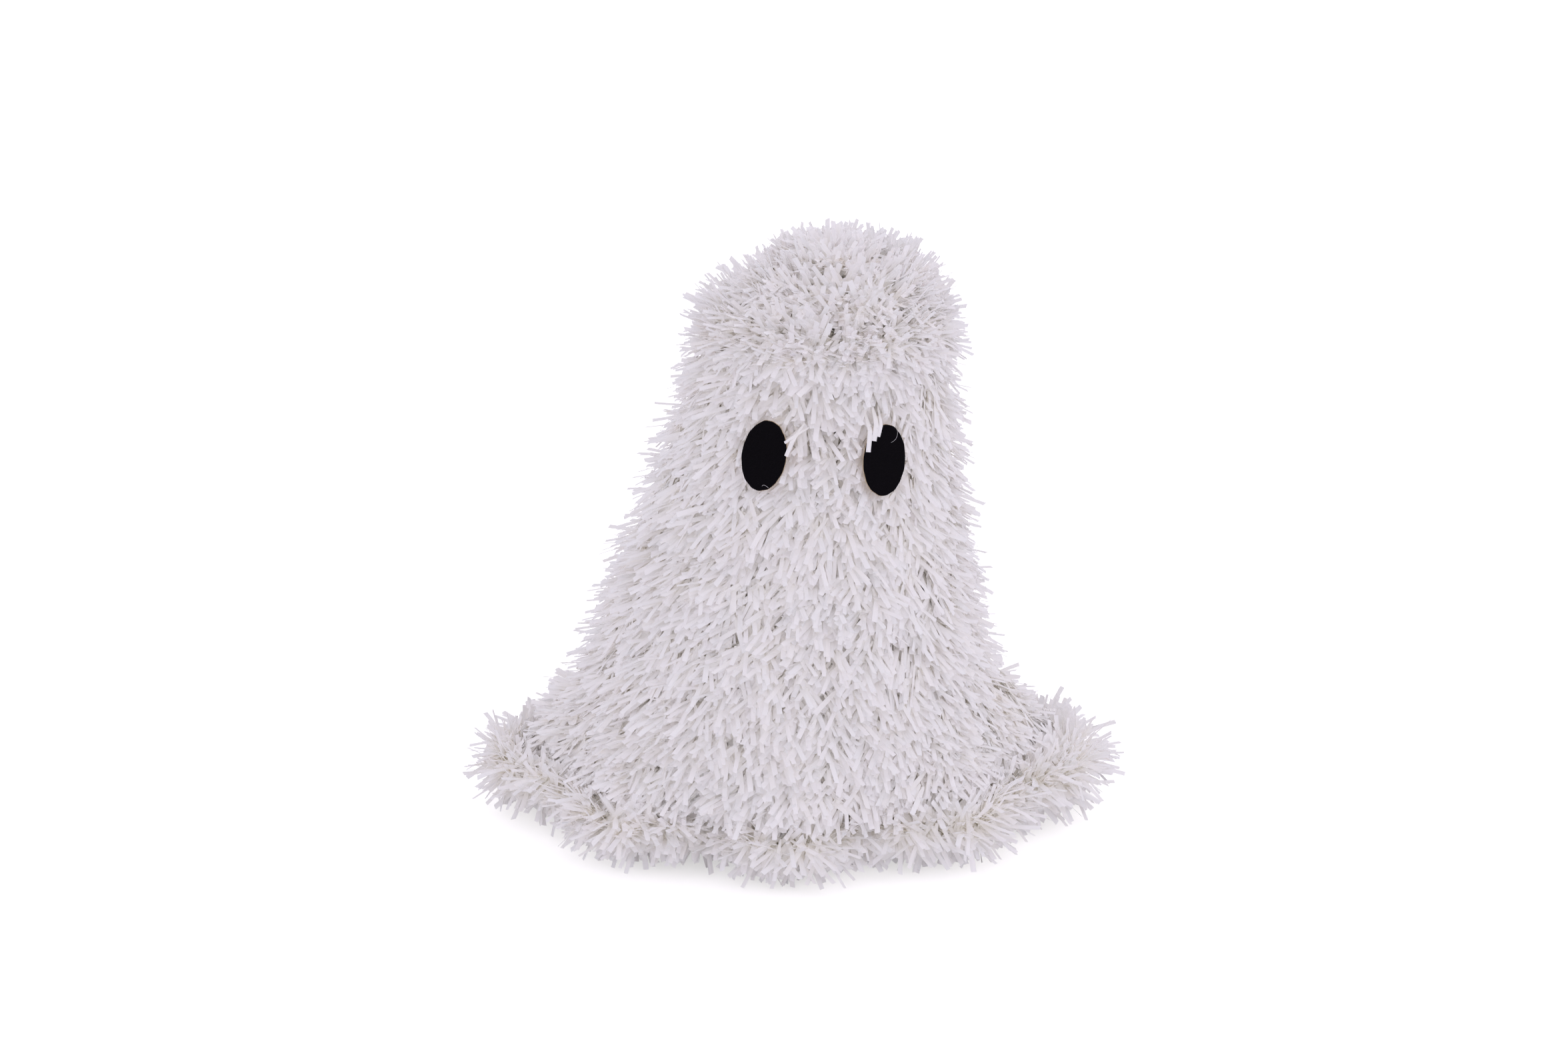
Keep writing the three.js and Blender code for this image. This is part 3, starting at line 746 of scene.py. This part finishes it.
def body_tufts(rng, row, total):
    """Where the strips of a row stand, their fan, lean and bend, and which of them are laid.
    On the crown the combed lean is smaller, and more of the lean is left to chance."""
    density = STRIPS_PER_MM * (CROWN_DENSITY if row <= DOME_ROWS else 1)
    count = min(int(total * density), MOST_STRIPS)
    ranges = (0, total), np.radians(FAN.get(row, FAN_BELOW)), BODY_LEAN, np.radians(BODY_BEND), (0, 1)
    where, fan, lean, bend, kind = tufts(rng, count, BODY_SPREAD, *ranges)
    combed = COMBED.get(row, 1.0)
    lean = COMBED_LEAN * combed + lean * (LOOSE_LEAN - combed / 2)
    laid = kind < LAID_SHARE
    fan = np.where(laid, np.radians(LAID_FAN) + LAID_FAN_SHARE * fan, fan)
    lean = np.where(laid, LAID_LEAN_SHARE * lean - LAID_LEAN_BACK, lean)
    return np.clip(where, 0, total), fan, lean, bend, laid


print("body strips point", FAN_BELOW, "degrees down from outwards")

# %% Where the body's strips start and how long they are
ROOT_SPREAD, ROOT_LIFT, LAID_LIFT = 0.46, 9.0, (7.0, 15.0)
CROWN_ROWS, SKIRT_SHARE, CROWN_SHARE = 2, 0.86, 0.93
BODY_LENGTH, INWARD_LENGTH, LAID_LENGTH = (18.5, 26.5), 0.5, 0.72
OUTWARD_LESS, LEFT_EXTRA = 0.1, 0.14
CROWN_FROM_TO, CROWN_LENGTHS = (-10, 55), (0.84, 1.1)


def pile_share(row):
    """How high the pile is on a row, as a share of its height on the body."""
    if row > SKIRT_ROW:
        return SKIRT_SHARE
    return CROWN_SHARE if row <= CROWN_ROWS else 1


def row_pitch(row):
    """Height of a row along the rib line: a share of the dome's arc or of the bell's side."""
    if row <= DOME_ROWS:
        return DOME_RADIUS * (np.pi / 2 - SHOULDER_SLOPE) / DOME_ROWS
    return np.hypot(BELL_SPAN, BELL_GROWTH) / BODY_ROWS


def body_roots(rng, row, root, along, normal, laid):
    """Roots lie up to ROOT_SPREAD of a row's height from the core and up to ROOT_LIFT above
    it. Laid strips start higher, by LAID_LIFT."""
    count = len(root)
    offset = rng.uniform(-ROOT_SPREAD, ROOT_SPREAD, (count, 1))
    root = root + row_pitch(row) * offset * np.cross(along, normal)
    lift = np.where(laid, rng.uniform(*LAID_LIFT, count), rng.uniform(0, ROOT_LIFT, count))
    return root + (lift * pile_share(row))[:, None] * normal


def body_lengths(rng, row, root, normal, fan, laid, inward):
    """Lengths drawn evenly from BODY_LENGTH. Laid and inward strips are shorter, and those
    that stand straight out a little. Strips that face -X are longer by up to LEFT_EXTRA, and
    the crown's grow towards +X, as the photograph's outline does."""
    share = np.where(inward, INWARD_LENGTH, np.where(laid, LAID_LENGTH, 1))
    length = rng.uniform(*BODY_LENGTH, len(root)) * share
    length = length * (1 - OUTWARD_LESS * np.cos(fan) ** 2)
    length = length * (1 + LEFT_EXTRA * np.maximum(0, -normal[:, 0]))
    if row <= CROWN_ROWS:
        length = length * np.interp(root[:, 0], CROWN_FROM_TO, CROWN_LENGTHS)
    return length * pile_share(row)


for row in (1, SKIRT_ROW + 1):
    print("row", row, "is", round(row_pitch(row), 1), "mm high, pile share", pile_share(row))

# %% [markdown]
# Ten turns of garland make the body, each a piece of its own. In each, about a third of the
# tufts start high and lie nearly flat on the others. That closes the gaps between them, as
# sheer number does in the real pile.

# %% Wind the body rows
FIRST_SEED = 100
MOST_GIVE = 2.5


def body_row(row, first_turn, last_turn, node):
    """One turn of garland as one mesh of strips: spread in tufts, rooted, turned inwards by
    chance, given their lengths, and pressed down under the eyes."""
    rng = np.random.default_rng(FIRST_SEED + row)
    points, out = body_core(first_turn, last_turn)
    where, fan, lean, bend, laid = body_tufts(rng, row, line_length(points)[-1])
    count = len(where)
    root, along, normal = along_core(points, out, where)
    root = body_roots(rng, row, root, along, normal, laid)
    inward = rng.random(count) < INWARD_SHARE
    fan = np.where(inward, rng.uniform(*np.radians(INWARD_FAN), count), fan)
    length = body_lengths(rng, row, root, normal, fan, laid, inward)
    lines = strip_lines(root, along, normal, fan, bend, lean, length)
    lines = press_under_eyes(lines, rng.uniform(0, MOST_GIVE, (count, 1)))
    return film_piece(f"tinsel_row_{row}", rng, lines, along, node)


GARLANDS = ["head"] * DOME_ROWS + ["upper_body"] * 3 + ["lower_body"] * 3 + ["skirt"]
strip_count = 0
for turn, garland in enumerate(GARLANDS):
    piece = body_row(turn + 1, turn, min(turn + 1, LAST_TURN), f"{garland}_tinsel")
    strip_count += len(piece.data.vertices) // CORNERS
print("body strips:", strip_count)

# %% [markdown]
# ## The hem rope
# The rope is the same garland with nothing combed down: its strips stand all round the
# core. Those that point down are pressed short by the ground, which gives the rope its
# flat underside.

# %% Make the rope in two halves
HEM_STRIPS_PER_MM = 15.0
HEM_ROOT_SPREAD = 6.0
HEM_SPREAD = (2.6, np.radians(24), 0.28, np.radians(10))
HEM_LEAN, HEM_BEND = (-1.0, 1.0), (-18, 18)
HEM_LENGTH, HEM_SIDEWAYS, HEM_RISING = (18.0, 25.0), 0.72, 0.28
HEM_LENGTHS_BY_SIDE = (0.95, 1.0, 1.2)
GROUND_GAP, STRIP_ROOM = 0.4, 1.2
HEM_SEED = 200


def hem_half(name, rng, first_angle, last_angle):
    """Half of the hem rope. Strips start within HEM_ROOT_SPREAD of the core in any direction
    square to it, lean either way along it, and end above the ground. They are a little longer
    towards +X."""
    points, out = hem_core(first_angle, last_angle)
    total = line_length(points)[-1]
    count = int(total * HEM_STRIPS_PER_MM)
    ranges = (0, total), (0, 2 * np.pi), HEM_LEAN, np.radians(HEM_BEND)
    where, fan, lean, bend = tufts(rng, count, HEM_SPREAD, *ranges)
    root, along, normal = along_core(points, out, np.clip(where, 0, total))
    offset = rng.uniform(-HEM_ROOT_SPREAD, HEM_ROOT_SPREAD, (2, count, 1))
    root = root + offset[0] * normal + offset[1] * np.cross(along, normal)
    length = rng.uniform(*HEM_LENGTH, count) * (HEM_SIDEWAYS + HEM_RISING * np.cos(fan) ** 2)
    length = length * np.interp(root[:, 0], (-HEM_SIDE, 0, HEM_SIDE), HEM_LENGTHS_BY_SIDE)
    lines = strip_lines(root, along, normal, fan, bend, lean, length)
    depth = root[:, 2] - lines[..., 2].min(1)
    short = np.minimum(1, (root[:, 2] - GROUND_GAP - STRIP_ROOM) / np.maximum(depth, 1))
    lines = root[:, None] + (lines - root[:, None]) * short[:, None, None]
    return film_piece(name, rng, lines, along, "hem_tinsel")


hem_rng = np.random.default_rng(HEM_SEED)
for name, first_angle in (("hem_rope_right", 0), ("hem_rope_left", 180)):
    piece = hem_half(name, hem_rng, first_angle, first_angle + 180)
    strip_count += len(piece.data.vertices) // CORNERS
print("strips in all:", strip_count)

# %% [markdown]
# ## The eyes
# Each eye is an oval cut from felt, a little uneven where it lies on the pile, on a thin
# pale backing, with a blob of glue behind it.

# %% Cut the ovals
AROUND = 96
FACE_RINGS = [0.02, 0.35, 0.7, 0.9]
EDGE_RINGS = 7
CUT_WAVES, CUT_RIPPLES = (9, 0.006), (17, 0.005)
FACE_WAVES_MM = (5, 7)


def oval(centre, axes, width, tall, back, front, edge, unevenness, seed):
    """A closed oval plate. Its profile runs from the front's middle to the rounded edge and
    round to the back's middle. A slow wave over the face keeps it from being quite flat, and
    a finer one makes the cut edge a little rough."""
    phase = np.random.default_rng(seed).uniform(0, 2 * np.pi, 4)
    turn = np.linspace(0, np.pi, EDGE_RINGS)
    share = np.concatenate([FACE_RINGS, 1 - edge * (1 - np.sin(turn)), FACE_RINGS[::-1]])
    face = np.ones(len(FACE_RINGS))
    level = np.concatenate([face, 0.5 + 0.5 * np.cos(turn), 0 * face])
    angle = 2 * np.pi * np.arange(AROUND) / AROUND
    rough = 1 + CUT_WAVES[1] * np.sin(CUT_WAVES[0] * angle + phase[0])
    rough = rough + CUT_RIPPLES[1] * np.sin(CUT_RIPPLES[0] * angle + phase[1])
    x = share[:, None] * rough * np.cos(angle) * width / 2
    y = share[:, None] * rough * np.sin(angle) * tall / 2
    wave = np.sin(x / FACE_WAVES_MM[0] + phase[2]) + np.sin(y / FACE_WAVES_MM[1] + phase[3])
    z = back + (front - back) * level[:, None] + unevenness * wave / 2
    points = centre + np.stack([x, y, z], -1) @ axes
    quads, fans = ring_faces(len(share), AROUND)
    return points.reshape(-1, 3), quads[:, [0, 3, 2, 1]], fans[:, [0, 2, 1]]


# %% Felt, backing and glue
BACKING, BACKING_RIM = 0.35, 0.3
FELT_EDGE, BACKING_EDGE, GLUE_EDGE = 0.03, 0.01, 0.12
FELT_UNEVEN, GLUE_UNEVEN = 0.25, 0.3
GLUE_SEED = 10
for seed, (side, (centre, axes)) in enumerate(EYE_FRAMES.items()):
    felt_size = (EYE_WIDTH, EYE_HEIGHT, BACKING, FELT_THICKNESS)
    back_size = (EYE_WIDTH + BACKING_RIM, EYE_HEIGHT + BACKING_RIM, 0.0, BACKING)
    glue_size = (PAD_SHARE * EYE_WIDTH, PAD_SHARE * EYE_HEIGHT, PAD_DEPTH - FELT_DEPTH, -GAP)
    cut_felt = oval(centre, axes, *felt_size, FELT_EDGE, FELT_UNEVEN, seed)
    cut_back = oval(centre, axes, *back_size, BACKING_EDGE, FELT_UNEVEN, seed)
    glue = oval(centre, axes, *glue_size, GLUE_EDGE, GLUE_UNEVEN, seed + GLUE_SEED)
    smooth_piece(f"{side}_eye_felt", cut_felt, black_felt, "eye_felt", f"{side}_eye")
    smooth_piece(f"{side}_eye_backing", cut_back, pale_backing, "eye_felt", f"{side}_eye")
    smooth_piece(f"{side}_eye_glue", glue, dried_glue, "glue_pad", f"{side}_eye_pad")
print("eyes", EYE_WIDTH, "by", EYE_HEIGHT, "mm cut and glued")

# %% [markdown]
# A few strips from the row above fall over the eyes' edges, as in the photograph: three over
# the upper left of the right eye, and the ends of two at the upper right of the left eye. A
# loose fibre lies on each felt, and short ones stand out of its cut edge.

# %% Strips that fall over the eyes
# From x, y to x, y on the eye in mm, and the width
OVER_EYES = {
    "right": [
        (-9.3, 14.0, -9.6, 3.8, 2.6),
        (-6.0, 17.0, -6.9, 9.2, 2.8),
        (-3.5, 17.0, -4.6, 11.3, 2.0),
    ],
    "left": [(11.6, 11.2, 9.4, 8.8, 1.4), (12.9, 10.0, 11.4, 2.6, 2.0)],
}
HIDDEN_MM, DIP_MM = 9.0, 3
OVER_FELT = np.array([-7.0, -1.6, 0.5, 0.5, 0.4])
OVER_EYES_RIDGE = 0.2
OVER_EYES_TONES = (0.3, 0.7)


def strips_over_eyes():
    """Strips whose visible part runs between two points given in the eye's own directions,
    with its width. Behind the first point each goes back HIDDEN_MM and dips into the pile, and
    its five rings lie at the levels OVER_FELT."""
    lines, across, widths = [], [], []
    for side, strips in OVER_EYES.items():
        centre, axes = EYE_FRAMES[side]
        for x0, y0, x1, y1, width in strips:
            start, end = np.array([x0, y0]), np.array([x1, y1])
            ahead = (end - start) / np.linalg.norm(end - start)
            flat = [start - HIDDEN_MM * ahead, start - DIP_MM * ahead, start, (start + end) / 2, end]
            lines.append(centre + np.column_stack([flat, FELT_THICKNESS + OVER_FELT]) @ axes)
            across.append(np.array([-ahead[1], ahead[0], 0.0]) @ axes)
            widths.append(width)
    count = len(lines)
    still, ridge = np.zeros(count), np.full(count, OVER_EYES_RIDGE)
    corners = ribbons(np.array(lines), np.array(across), np.array(widths), ridge, still, still, still)
    mesh = strip_mesh("strips_over_eyes", corners, np.linspace(*OVER_EYES_TONES, count))
    make_piece("strips_over_eyes", mesh, film, "tinsel_film", "upper_body_tinsel")
    return count


print("strips over the eyes:", strips_over_eyes())

# %% Loose fibres
FIBRES = {
    "right": [(5.0, 16.0), (5.8, 13.0), (5.0, 10.4), (2.6, 8.7)],
    "left": [(2.3, -14.4), (3.4, -13.7), (4.6, -14.0), (5.7, -14.4)],
}
HAIR_RADIUS, HAIR_LIFT = 0.06, 0.35


def fibre(points, out, radius):
    """A thin tube of four sides along a line that turns little."""
    return tube(points, np.broadcast_to(out, points.shape), radius, 4)


def smooth_curve(points, steps=24):
    """A curve through a few points, each coordinate a cubic in the number of the point."""
    number = np.arange(len(points))
    at = np.linspace(0, len(points) - 1, steps)
    return np.stack([np.polyval(np.polyfit(number, column, 3), at) for column in points.T], -1)


def loose_fibre(side, centre, axes):
    """One thin fibre that lies on the felt along a smooth curve."""
    flat = smooth_curve(np.array(FIBRES[side]))
    level = np.full((len(flat), 1), FELT_THICKNESS + HAIR_LIFT)
    hair = fibre(centre + np.hstack([flat, level]) @ axes, axes[2], HAIR_RADIUS)
    smooth_piece(f"{side}_eye_hair", hair, film, "eye_felt", f"{side}_eye")
    return round(line_length(flat)[-1], 1)


# %% The felt's fuzz
FUZZ_COUNT, FUZZ_SEED = 260, 300
FUZZ_RADIUS, FUZZ_LENGTH = 0.03, (0.3, 1.0)
FUZZ_STRAY, FUZZ_CURL = 0.6, 0.25
FUZZ_ROOT, FUZZ_INSET = -0.3, 0.96


def cut_edge_fuzz(rng, side, centre, axes):
    """Short fibres that stand out of the felt's cut edge: each goes away from the oval, strays
    from that by chance, and curls by the square of the way along it."""
    share = np.linspace(FUZZ_ROOT, 1, 4)[:, None]
    fuzz = []
    for turn in rng.uniform(0, 2 * np.pi, FUZZ_COUNT):
        edge = np.array([EYE_WIDTH / 2 * np.cos(turn), EYE_HEIGHT / 2 * np.sin(turn), 0.0])
        edge[2] = rng.uniform(BACKING, FELT_THICKNESS)
        stray = rng.normal(0, FUZZ_STRAY, 3)
        away = unit(np.array([np.cos(turn), np.sin(turn), 0]) + stray)
        curl = rng.normal(0, FUZZ_CURL, 3)
        local = FUZZ_INSET * edge + rng.uniform(*FUZZ_LENGTH) * (share * away + share**2 * curl)
        fuzz.append(fibre(centre + local @ axes, axes[2], FUZZ_RADIUS))
    smooth_piece(f"{side}_eye_fuzz", joined(fuzz), black_felt, "eye_felt", f"{side}_eye")


fuzz_rng = np.random.default_rng(FUZZ_SEED)
for side, (centre, axes) in EYE_FRAMES.items():
    print(side, "eye's loose fibre:", loose_fibre(side, centre, axes), "mm")
    cut_edge_fuzz(fuzz_rng, side, centre, axes)
print("fibres of fuzz on each eye:", FUZZ_COUNT)

# %% [markdown]
# ## The wires
# None of the wires shows from the front, but they do from below: twisted cores in the
# garland, hoops and ribs with weld beads, and ties.

# %% Twist the cores
STRAND_TURN_MM = 9.0
THIN_SIDES = 6
HEM_CORE_ENDS = (-179.5, 179.5)


def twisted_core(name, points, out, node):
    """Two strands that wind round each other, one turn in STRAND_TURN_MM."""
    length = line_length(points)
    steps = np.arange(0, length[-1], 1.0)
    at, ahead, normal = along_core(points, out, steps)
    side = np.cross(ahead, normal)
    turned = 2 * np.pi * steps / STRAND_TURN_MM
    strands = []
    for phase in (0, np.pi):
        offset = swing(turned + phase, normal, side)
        strands.append(tube(at + offset * CORE_WIRE / 4, offset, CORE_WIRE / 4, THIN_SIDES))
    smooth_piece(name, joined(strands), zinc, "garland_core", node)


for name, first_turn, last_turn in (
    ("head", 0, DOME_ROWS),
    ("upper_body", DOME_ROWS, DOME_ROWS + 3),
    ("lower_body", DOME_ROWS + 3, SKIRT_ROW),
    ("skirt", SKIRT_ROW, LAST_TURN),
):
    twisted_core(f"{name}_core", *body_core(first_turn, last_turn), f"{name}_core_wire")
twisted_core("hem_core", *hem_core(*HEM_CORE_ENDS), "hem_core_wire")
print("cores twisted, one turn in", STRAND_TURN_MM, "mm")

# %% [markdown]
# The frame is bent from 3 mm wire and spot-welded. Each rib crosses the hoops on their
# outside, and a small bead of weld fills the corner where two wires meet.

# %% Lines of the frame
HOOP_DEPTH = (FRAME_WIRE + CORE_WIRE) / 2 + GAP
HOOP_ROWS = {
    "brow": DOME_ROWS - 1,
    "shoulder": DOME_ROWS,
    "chest": DOME_ROWS + BODY_ROWS / 3,
    "waist": DOME_ROWS + 2 * BODY_ROWS / 3,
    "skirt": SKIRT_ROW,
}
RIB_TILT, ROUNDINGS = 0.3, 12


def on_rope(angle, depth):
    """The point at a depth from the rope's core, on the side that the legs come from."""
    leg = leg_direction(angle)
    return place(angle, hem_reach(angle) + depth * np.cos(leg), ROPE_RADIUS + depth * np.sin(leg))


def crown_line(steps=60):
    """The crown ring: a level circle on the dome's own surface."""
    angle = 360 * np.arange(steps) / steps
    height = DOME_CENTRE + np.sqrt(DOME_RADIUS**2 - CROWN_RING_RADIUS**2)
    return place(angle, CROWN_RING_RADIUS, height), outward(angle, 0.0)


def hoop_line(u, steps=180):
    """A level circle one wire and a gap inside the ribs."""
    angle = 360 * np.arange(steps) / steps
    r, z, slope = frame_ray(u, 0.0)
    inward = FRAME_WIRE + GAP
    points = place(angle, r - inward * np.cos(slope), z - inward * np.sin(slope))
    return points, outward(angle, 0.0)


def hem_hoop_line(steps=360):
    """The wavy hoop, HOOP_DEPTH from the rope's core."""
    angle = 360 * np.arange(steps) / steps
    return on_rope(angle, HOOP_DEPTH), outward(angle, 0.0)


def rib_line(angle):
    """A rib from the crown ring down to the skirt hoop and straight on to the hem hoop. The
    bend between the two is rounded by averaging neighbours."""
    reach = CROWN_RING_RADIUS + FRAME_WIRE / 2
    top = DOME_ROWS * np.arcsin(reach / DOME_RADIUS) / (np.pi / 2 - SHOULDER_SLOPE)
    body = on_rib(np.linspace(top, SKIRT_ROW, 90), angle)
    end = on_rope(angle, HOOP_DEPTH + FRAME_WIRE / 2)
    steps = np.linspace(0, 1, 20)[1:, None]
    points = np.concatenate([body, body[-1] + steps * (end - body[-1])])
    for _ in range(ROUNDINGS):
        points[1:-1] = (points[:-2] + 2 * points[1:-1] + points[2:]) / 4
    return points, np.broadcast_to(outward(angle, RIB_TILT), points.shape)


print("a rib is", round(line_length(rib_line(0.0)[0])[-1]), "mm long at the front")


# %% Beads of weld
WIRE_SIDES = 14
BEAD_POLE, BEAD_RINGS = 0.15, 9
CROSSING_RADII, END_RADIUS = np.array([2.0, 1.7, 0.8]), 1.9


def bead(centre, out, across, radii):
    """A weld bead: a ball drawn out by three radii, across, along the rib and outwards."""
    turn = np.linspace(BEAD_POLE, np.pi - BEAD_POLE, BEAD_RINGS)
    line = np.stack([0 * turn, 0 * turn, np.cos(turn)], -1)
    aside = np.tile([1.0, 0.0, 0.0], (BEAD_RINGS, 1))
    points, quads, triangles = tube(line, aside, np.sin(turn), WIRE_SIDES)
    axes = np.stack([across, np.cross(out, across), out])
    return centre + points * radii @ axes, quads, triangles


def crossing_bead(u, angle):
    """The bead where a rib crosses a hoop: half way between their lines, widest along the
    hoop."""
    middle = on_rib(u, angle, -(FRAME_WIRE + GAP) / 2)
    out = outward(angle, frame_ray(u, angle)[2])
    return bead(middle, out, outward(angle + 90, 0.0), CROSSING_RADII)


def end_bead(point, angle):
    """The bead that joins a rib's end to a ring."""
    return bead(point, outward(angle, 0.0), outward(angle + 90, 0.0), END_RADIUS)


# %% Weld the frame together
def frame_piece(node, parts):
    """A painted piece of the frame from its wire and beads, for one node."""
    smooth_piece(f"{node}_wire", joined(parts), paint, "frame_wire", node)


rings = {"crown_ring": crown_line()}
rings.update({f"{name}_hoop": hoop_line(row) for name, row in HOOP_ROWS.items()})
rings["hem_hoop"] = hem_hoop_line()
for node, (points, out) in rings.items():
    frame_piece(node, [tube(points, out, FRAME_WIRE / 2, WIRE_SIDES, closed=True)])
for k in range(RIBS):
    angle = 360 * k / RIBS
    points, out = rib_line(angle)
    beads = [crossing_bead(row, angle) for row in HOOP_ROWS.values()]
    ends = [end_bead(points[0], angle), end_bead(points[-1], angle)]
    frame_piece(f"rib_{k + 1}", [tube(points, out, FRAME_WIRE / 2, WIRE_SIDES), *beads, *ends])
print("welded", len(rings), "rings and", RIBS, "ribs")

# %% [markdown]
# Each tie is a short thin wire, wrapped two and a half times round the frame and the core
# and closed by twisting its two ends together.

# %% Wrap the ties
TIE_RADIUS = (FRAME_WIRE + GAP + CORE_WIRE) / 2 + GAP + TIE_WIRE / 2
WRAPS, WRAP_STEPS, WRAP_PITCH, WRAP_ROOM = 2.5, 24, 1.08, 0.1
TAIL_MM, TAIL_TURNS, TAIL_STEPS, TAIL_ASIDE = 7.0, 3.5, 36, 0.8


def tie_piece(node, frame_at, core_at, heading):
    """A wrap is an ellipse round both wires that moves on by its own thickness each turn.
    The tail is two strands that wind round each other, pointing inwards."""
    between = core_at - frame_at
    distance = np.linalg.norm(between)
    between = between / distance
    axis = unit(heading - heading @ between * between)
    side = np.cross(axis, between)
    centre = frame_at + between * (distance + (CORE_WIRE - FRAME_WIRE) / 2) / 2
    tall = TIE_RADIUS + (distance - HOOP_DEPTH) / 2
    wide = FRAME_WIRE / 2 + TIE_WIRE / 2 + WRAP_ROOM
    turned = 2 * np.pi * np.linspace(0, WRAPS, int(WRAPS * WRAP_STEPS))
    wrap = centre - np.cos(turned)[:, None] * tall * between + np.sin(turned)[:, None] * wide * side
    wrap = wrap + (turned / (2 * np.pi) - WRAPS / 2)[:, None] * TIE_WIRE * WRAP_PITCH * axis
    parts = [tube(wrap, np.broadcast_to(axis, wrap.shape), TIE_WIRE / 2, THIN_SIDES)]
    share = np.linspace(0, 1, TAIL_STEPS)
    start = centre - tall * between
    tail_way = unit(between + TAIL_ASIDE * side)
    for phase in (0, np.pi):
        offset = swing(2 * np.pi * TAIL_TURNS * share + phase, axis, side)
        tail = start - TAIL_MM * share[:, None] * tail_way + offset * TIE_WIRE / 2
        parts.append(tube(tail, offset, TIE_WIRE / 2, THIN_SIDES))
    mesh = make_mesh(node, *joined(parts), smooth=True)
    make_piece(f"{node}_wire", mesh, zinc, "tie_wire", node)


# %% Tie the garland to the frame
TIES_A_ROW = 4
for row in range(2, SKIRT_ROW, 2):
    for k in range(TIES_A_ROW):
        angle = 360 / RIBS * (2 * k + row % 4 / 2)
        down = unit(on_rib(row + 0.6, angle) - on_rib(row + 0.4, angle))
        heading = down + outward(angle + 90, 0.0)
        frame_at, core_at = on_rib(row + 0.5, angle), on_rib(row + 0.5, angle, CORE_DEPTH)
        tie_piece(f"tie_{row}_{k + 1}", frame_at, core_at, heading)
for k in range(RIBS):
    angle = 360 / RIBS * (k + 0.5)
    frame_at, core_at = on_rope(angle, HOOP_DEPTH), place(angle, hem_reach(angle), ROPE_RADIUS)
    tie_piece(f"hem_tie_{k + 1}", frame_at, core_at, outward(angle + 90, 0.0))
print("ties wrapped", WRAPS, "times each")

# %% [markdown]
# ## Floor, light and finish
# The ghost stands on a plain white floor under two large soft lamps. The floor keeps the
# ghost's shadow. The world lights the ghost evenly from all round, and shows white to the
# camera.

# %% Light from all round
STUDIO_TINT = (0.955, 0.909, 1.0)
WORLD_LIGHT, WORLD_SHOWN = 0.81, 1.2


def seen_by_camera(material_or_world):
    """One where the camera or a refraction looks, else zero: the greater of the two rays."""
    path = add_node(material_or_world, "ShaderNodeLightPath")
    either = add_node(material_or_world, "ShaderNodeMath", operation="MAXIMUM")
    link = material_or_world.node_tree.links.new
    link(path.outputs["Is Camera Ray"], either.inputs[0])
    link(path.outputs["Is Transmission Ray"], either.inputs[1])
    return either.outputs[0]


def white_world():
    """A soft, faintly lilac light from all round that shows as plain white."""
    world = bpy.data.worlds.new("studio")
    world.use_nodes = True
    world.node_tree.nodes.clear()
    strength = number_between(world, seen_by_camera(world), WORLD_LIGHT, WORLD_SHOWN)
    tint = {"Color": (*STUDIO_TINT, 1.0)}
    background = add_node(world, "ShaderNodeBackground", tint, {"Strength": strength})
    add_node(world, "ShaderNodeOutputWorld", links={"Surface": background.outputs[0]})
    bpy.context.scene.world = world
    return world


print("world:", white_world().name)

# %% A floor that keeps the shadow
FLOOR_RADIUS, FLOOR_LEVEL, FLOOR_CORNERS = 4000, -0.2, 64
FLOOR_WHITE, FLOOR_GLOW = "#f0f0f0", 0.5


def white_floor():
    """A round floor of FLOOR_RADIUS. Its own colour takes the shadow, and a little light of
    its own towards the camera brings the rest to white."""
    rim = 2 * np.pi * np.arange(FLOOR_CORNERS) / FLOOR_CORNERS
    level = np.full(FLOOR_CORNERS, FLOOR_LEVEL)
    points = np.stack([FLOOR_RADIUS * np.cos(rim), FLOOR_RADIUS * np.sin(rim), level], -1)
    k = np.arange(1, FLOOR_CORNERS - 1)
    fan = np.stack([np.zeros_like(k), k, k + 1], -1)
    mesh = make_mesh("floor", points, np.zeros((0, 4), int), fan)
    material, finish = new_material("white_paper")
    diffuse = add_node(material, "ShaderNodeBsdfDiffuse", {"Color": colour(FLOOR_WHITE)})
    glow = number_between(material, seen_by_camera(material), 0.0, FLOOR_GLOW)
    glow = add_node(material, "ShaderNodeEmission", {"Color": (1, 1, 1, 1)}, {"Strength": glow})
    both = add_node(material, "ShaderNodeAddShader")
    material.node_tree.links.new(diffuse.outputs[0], both.inputs[0])
    material.node_tree.links.new(glow.outputs[0], both.inputs[1])
    mesh.materials.append(finish(both))
    floor = new_object("floor", mesh)
    floor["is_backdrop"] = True
    return floor


print("floor:", white_floor().name)

# %% Lamps and view
LAMP_TARGET = (0, 0, 0.15)
LAMP_SIZE = 1.8
LAMPS = {"key": ((1.9, -1.2, 1.8), 6), "fill": ((-1.6, -1.2, 1.2), 1)}
MOST_BOUNCES, DIFFUSE_BOUNCES = 64, 48


def soft_lamp(name, at, power):
    """A square lamp that points at the ghost's middle."""
    data = bpy.data.lights.new(name, "AREA")
    data.size = LAMP_SIZE
    data.energy = power
    data.color = STUDIO_TINT
    look_at(new_object(name, data), at, LAMP_TARGET)


for name, (at, power) in LAMPS.items():
    soft_lamp(name, at, power)
bpy.context.scene.cycles.max_bounces = MOST_BOUNCES
bpy.context.scene.cycles.diffuse_bounces = DIFFUSE_BOUNCES
bpy.context.scene.view_settings.view_transform = "Standard"
print("lamps:", list(LAMPS), "bounces:", MOST_BOUNCES)

# %% Print the two boxes and finish
boxes = [[list(corner) for corner in pair] for pair in (cad_box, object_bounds())]
print("boxes:", np.round(boxes, 4).tolist())
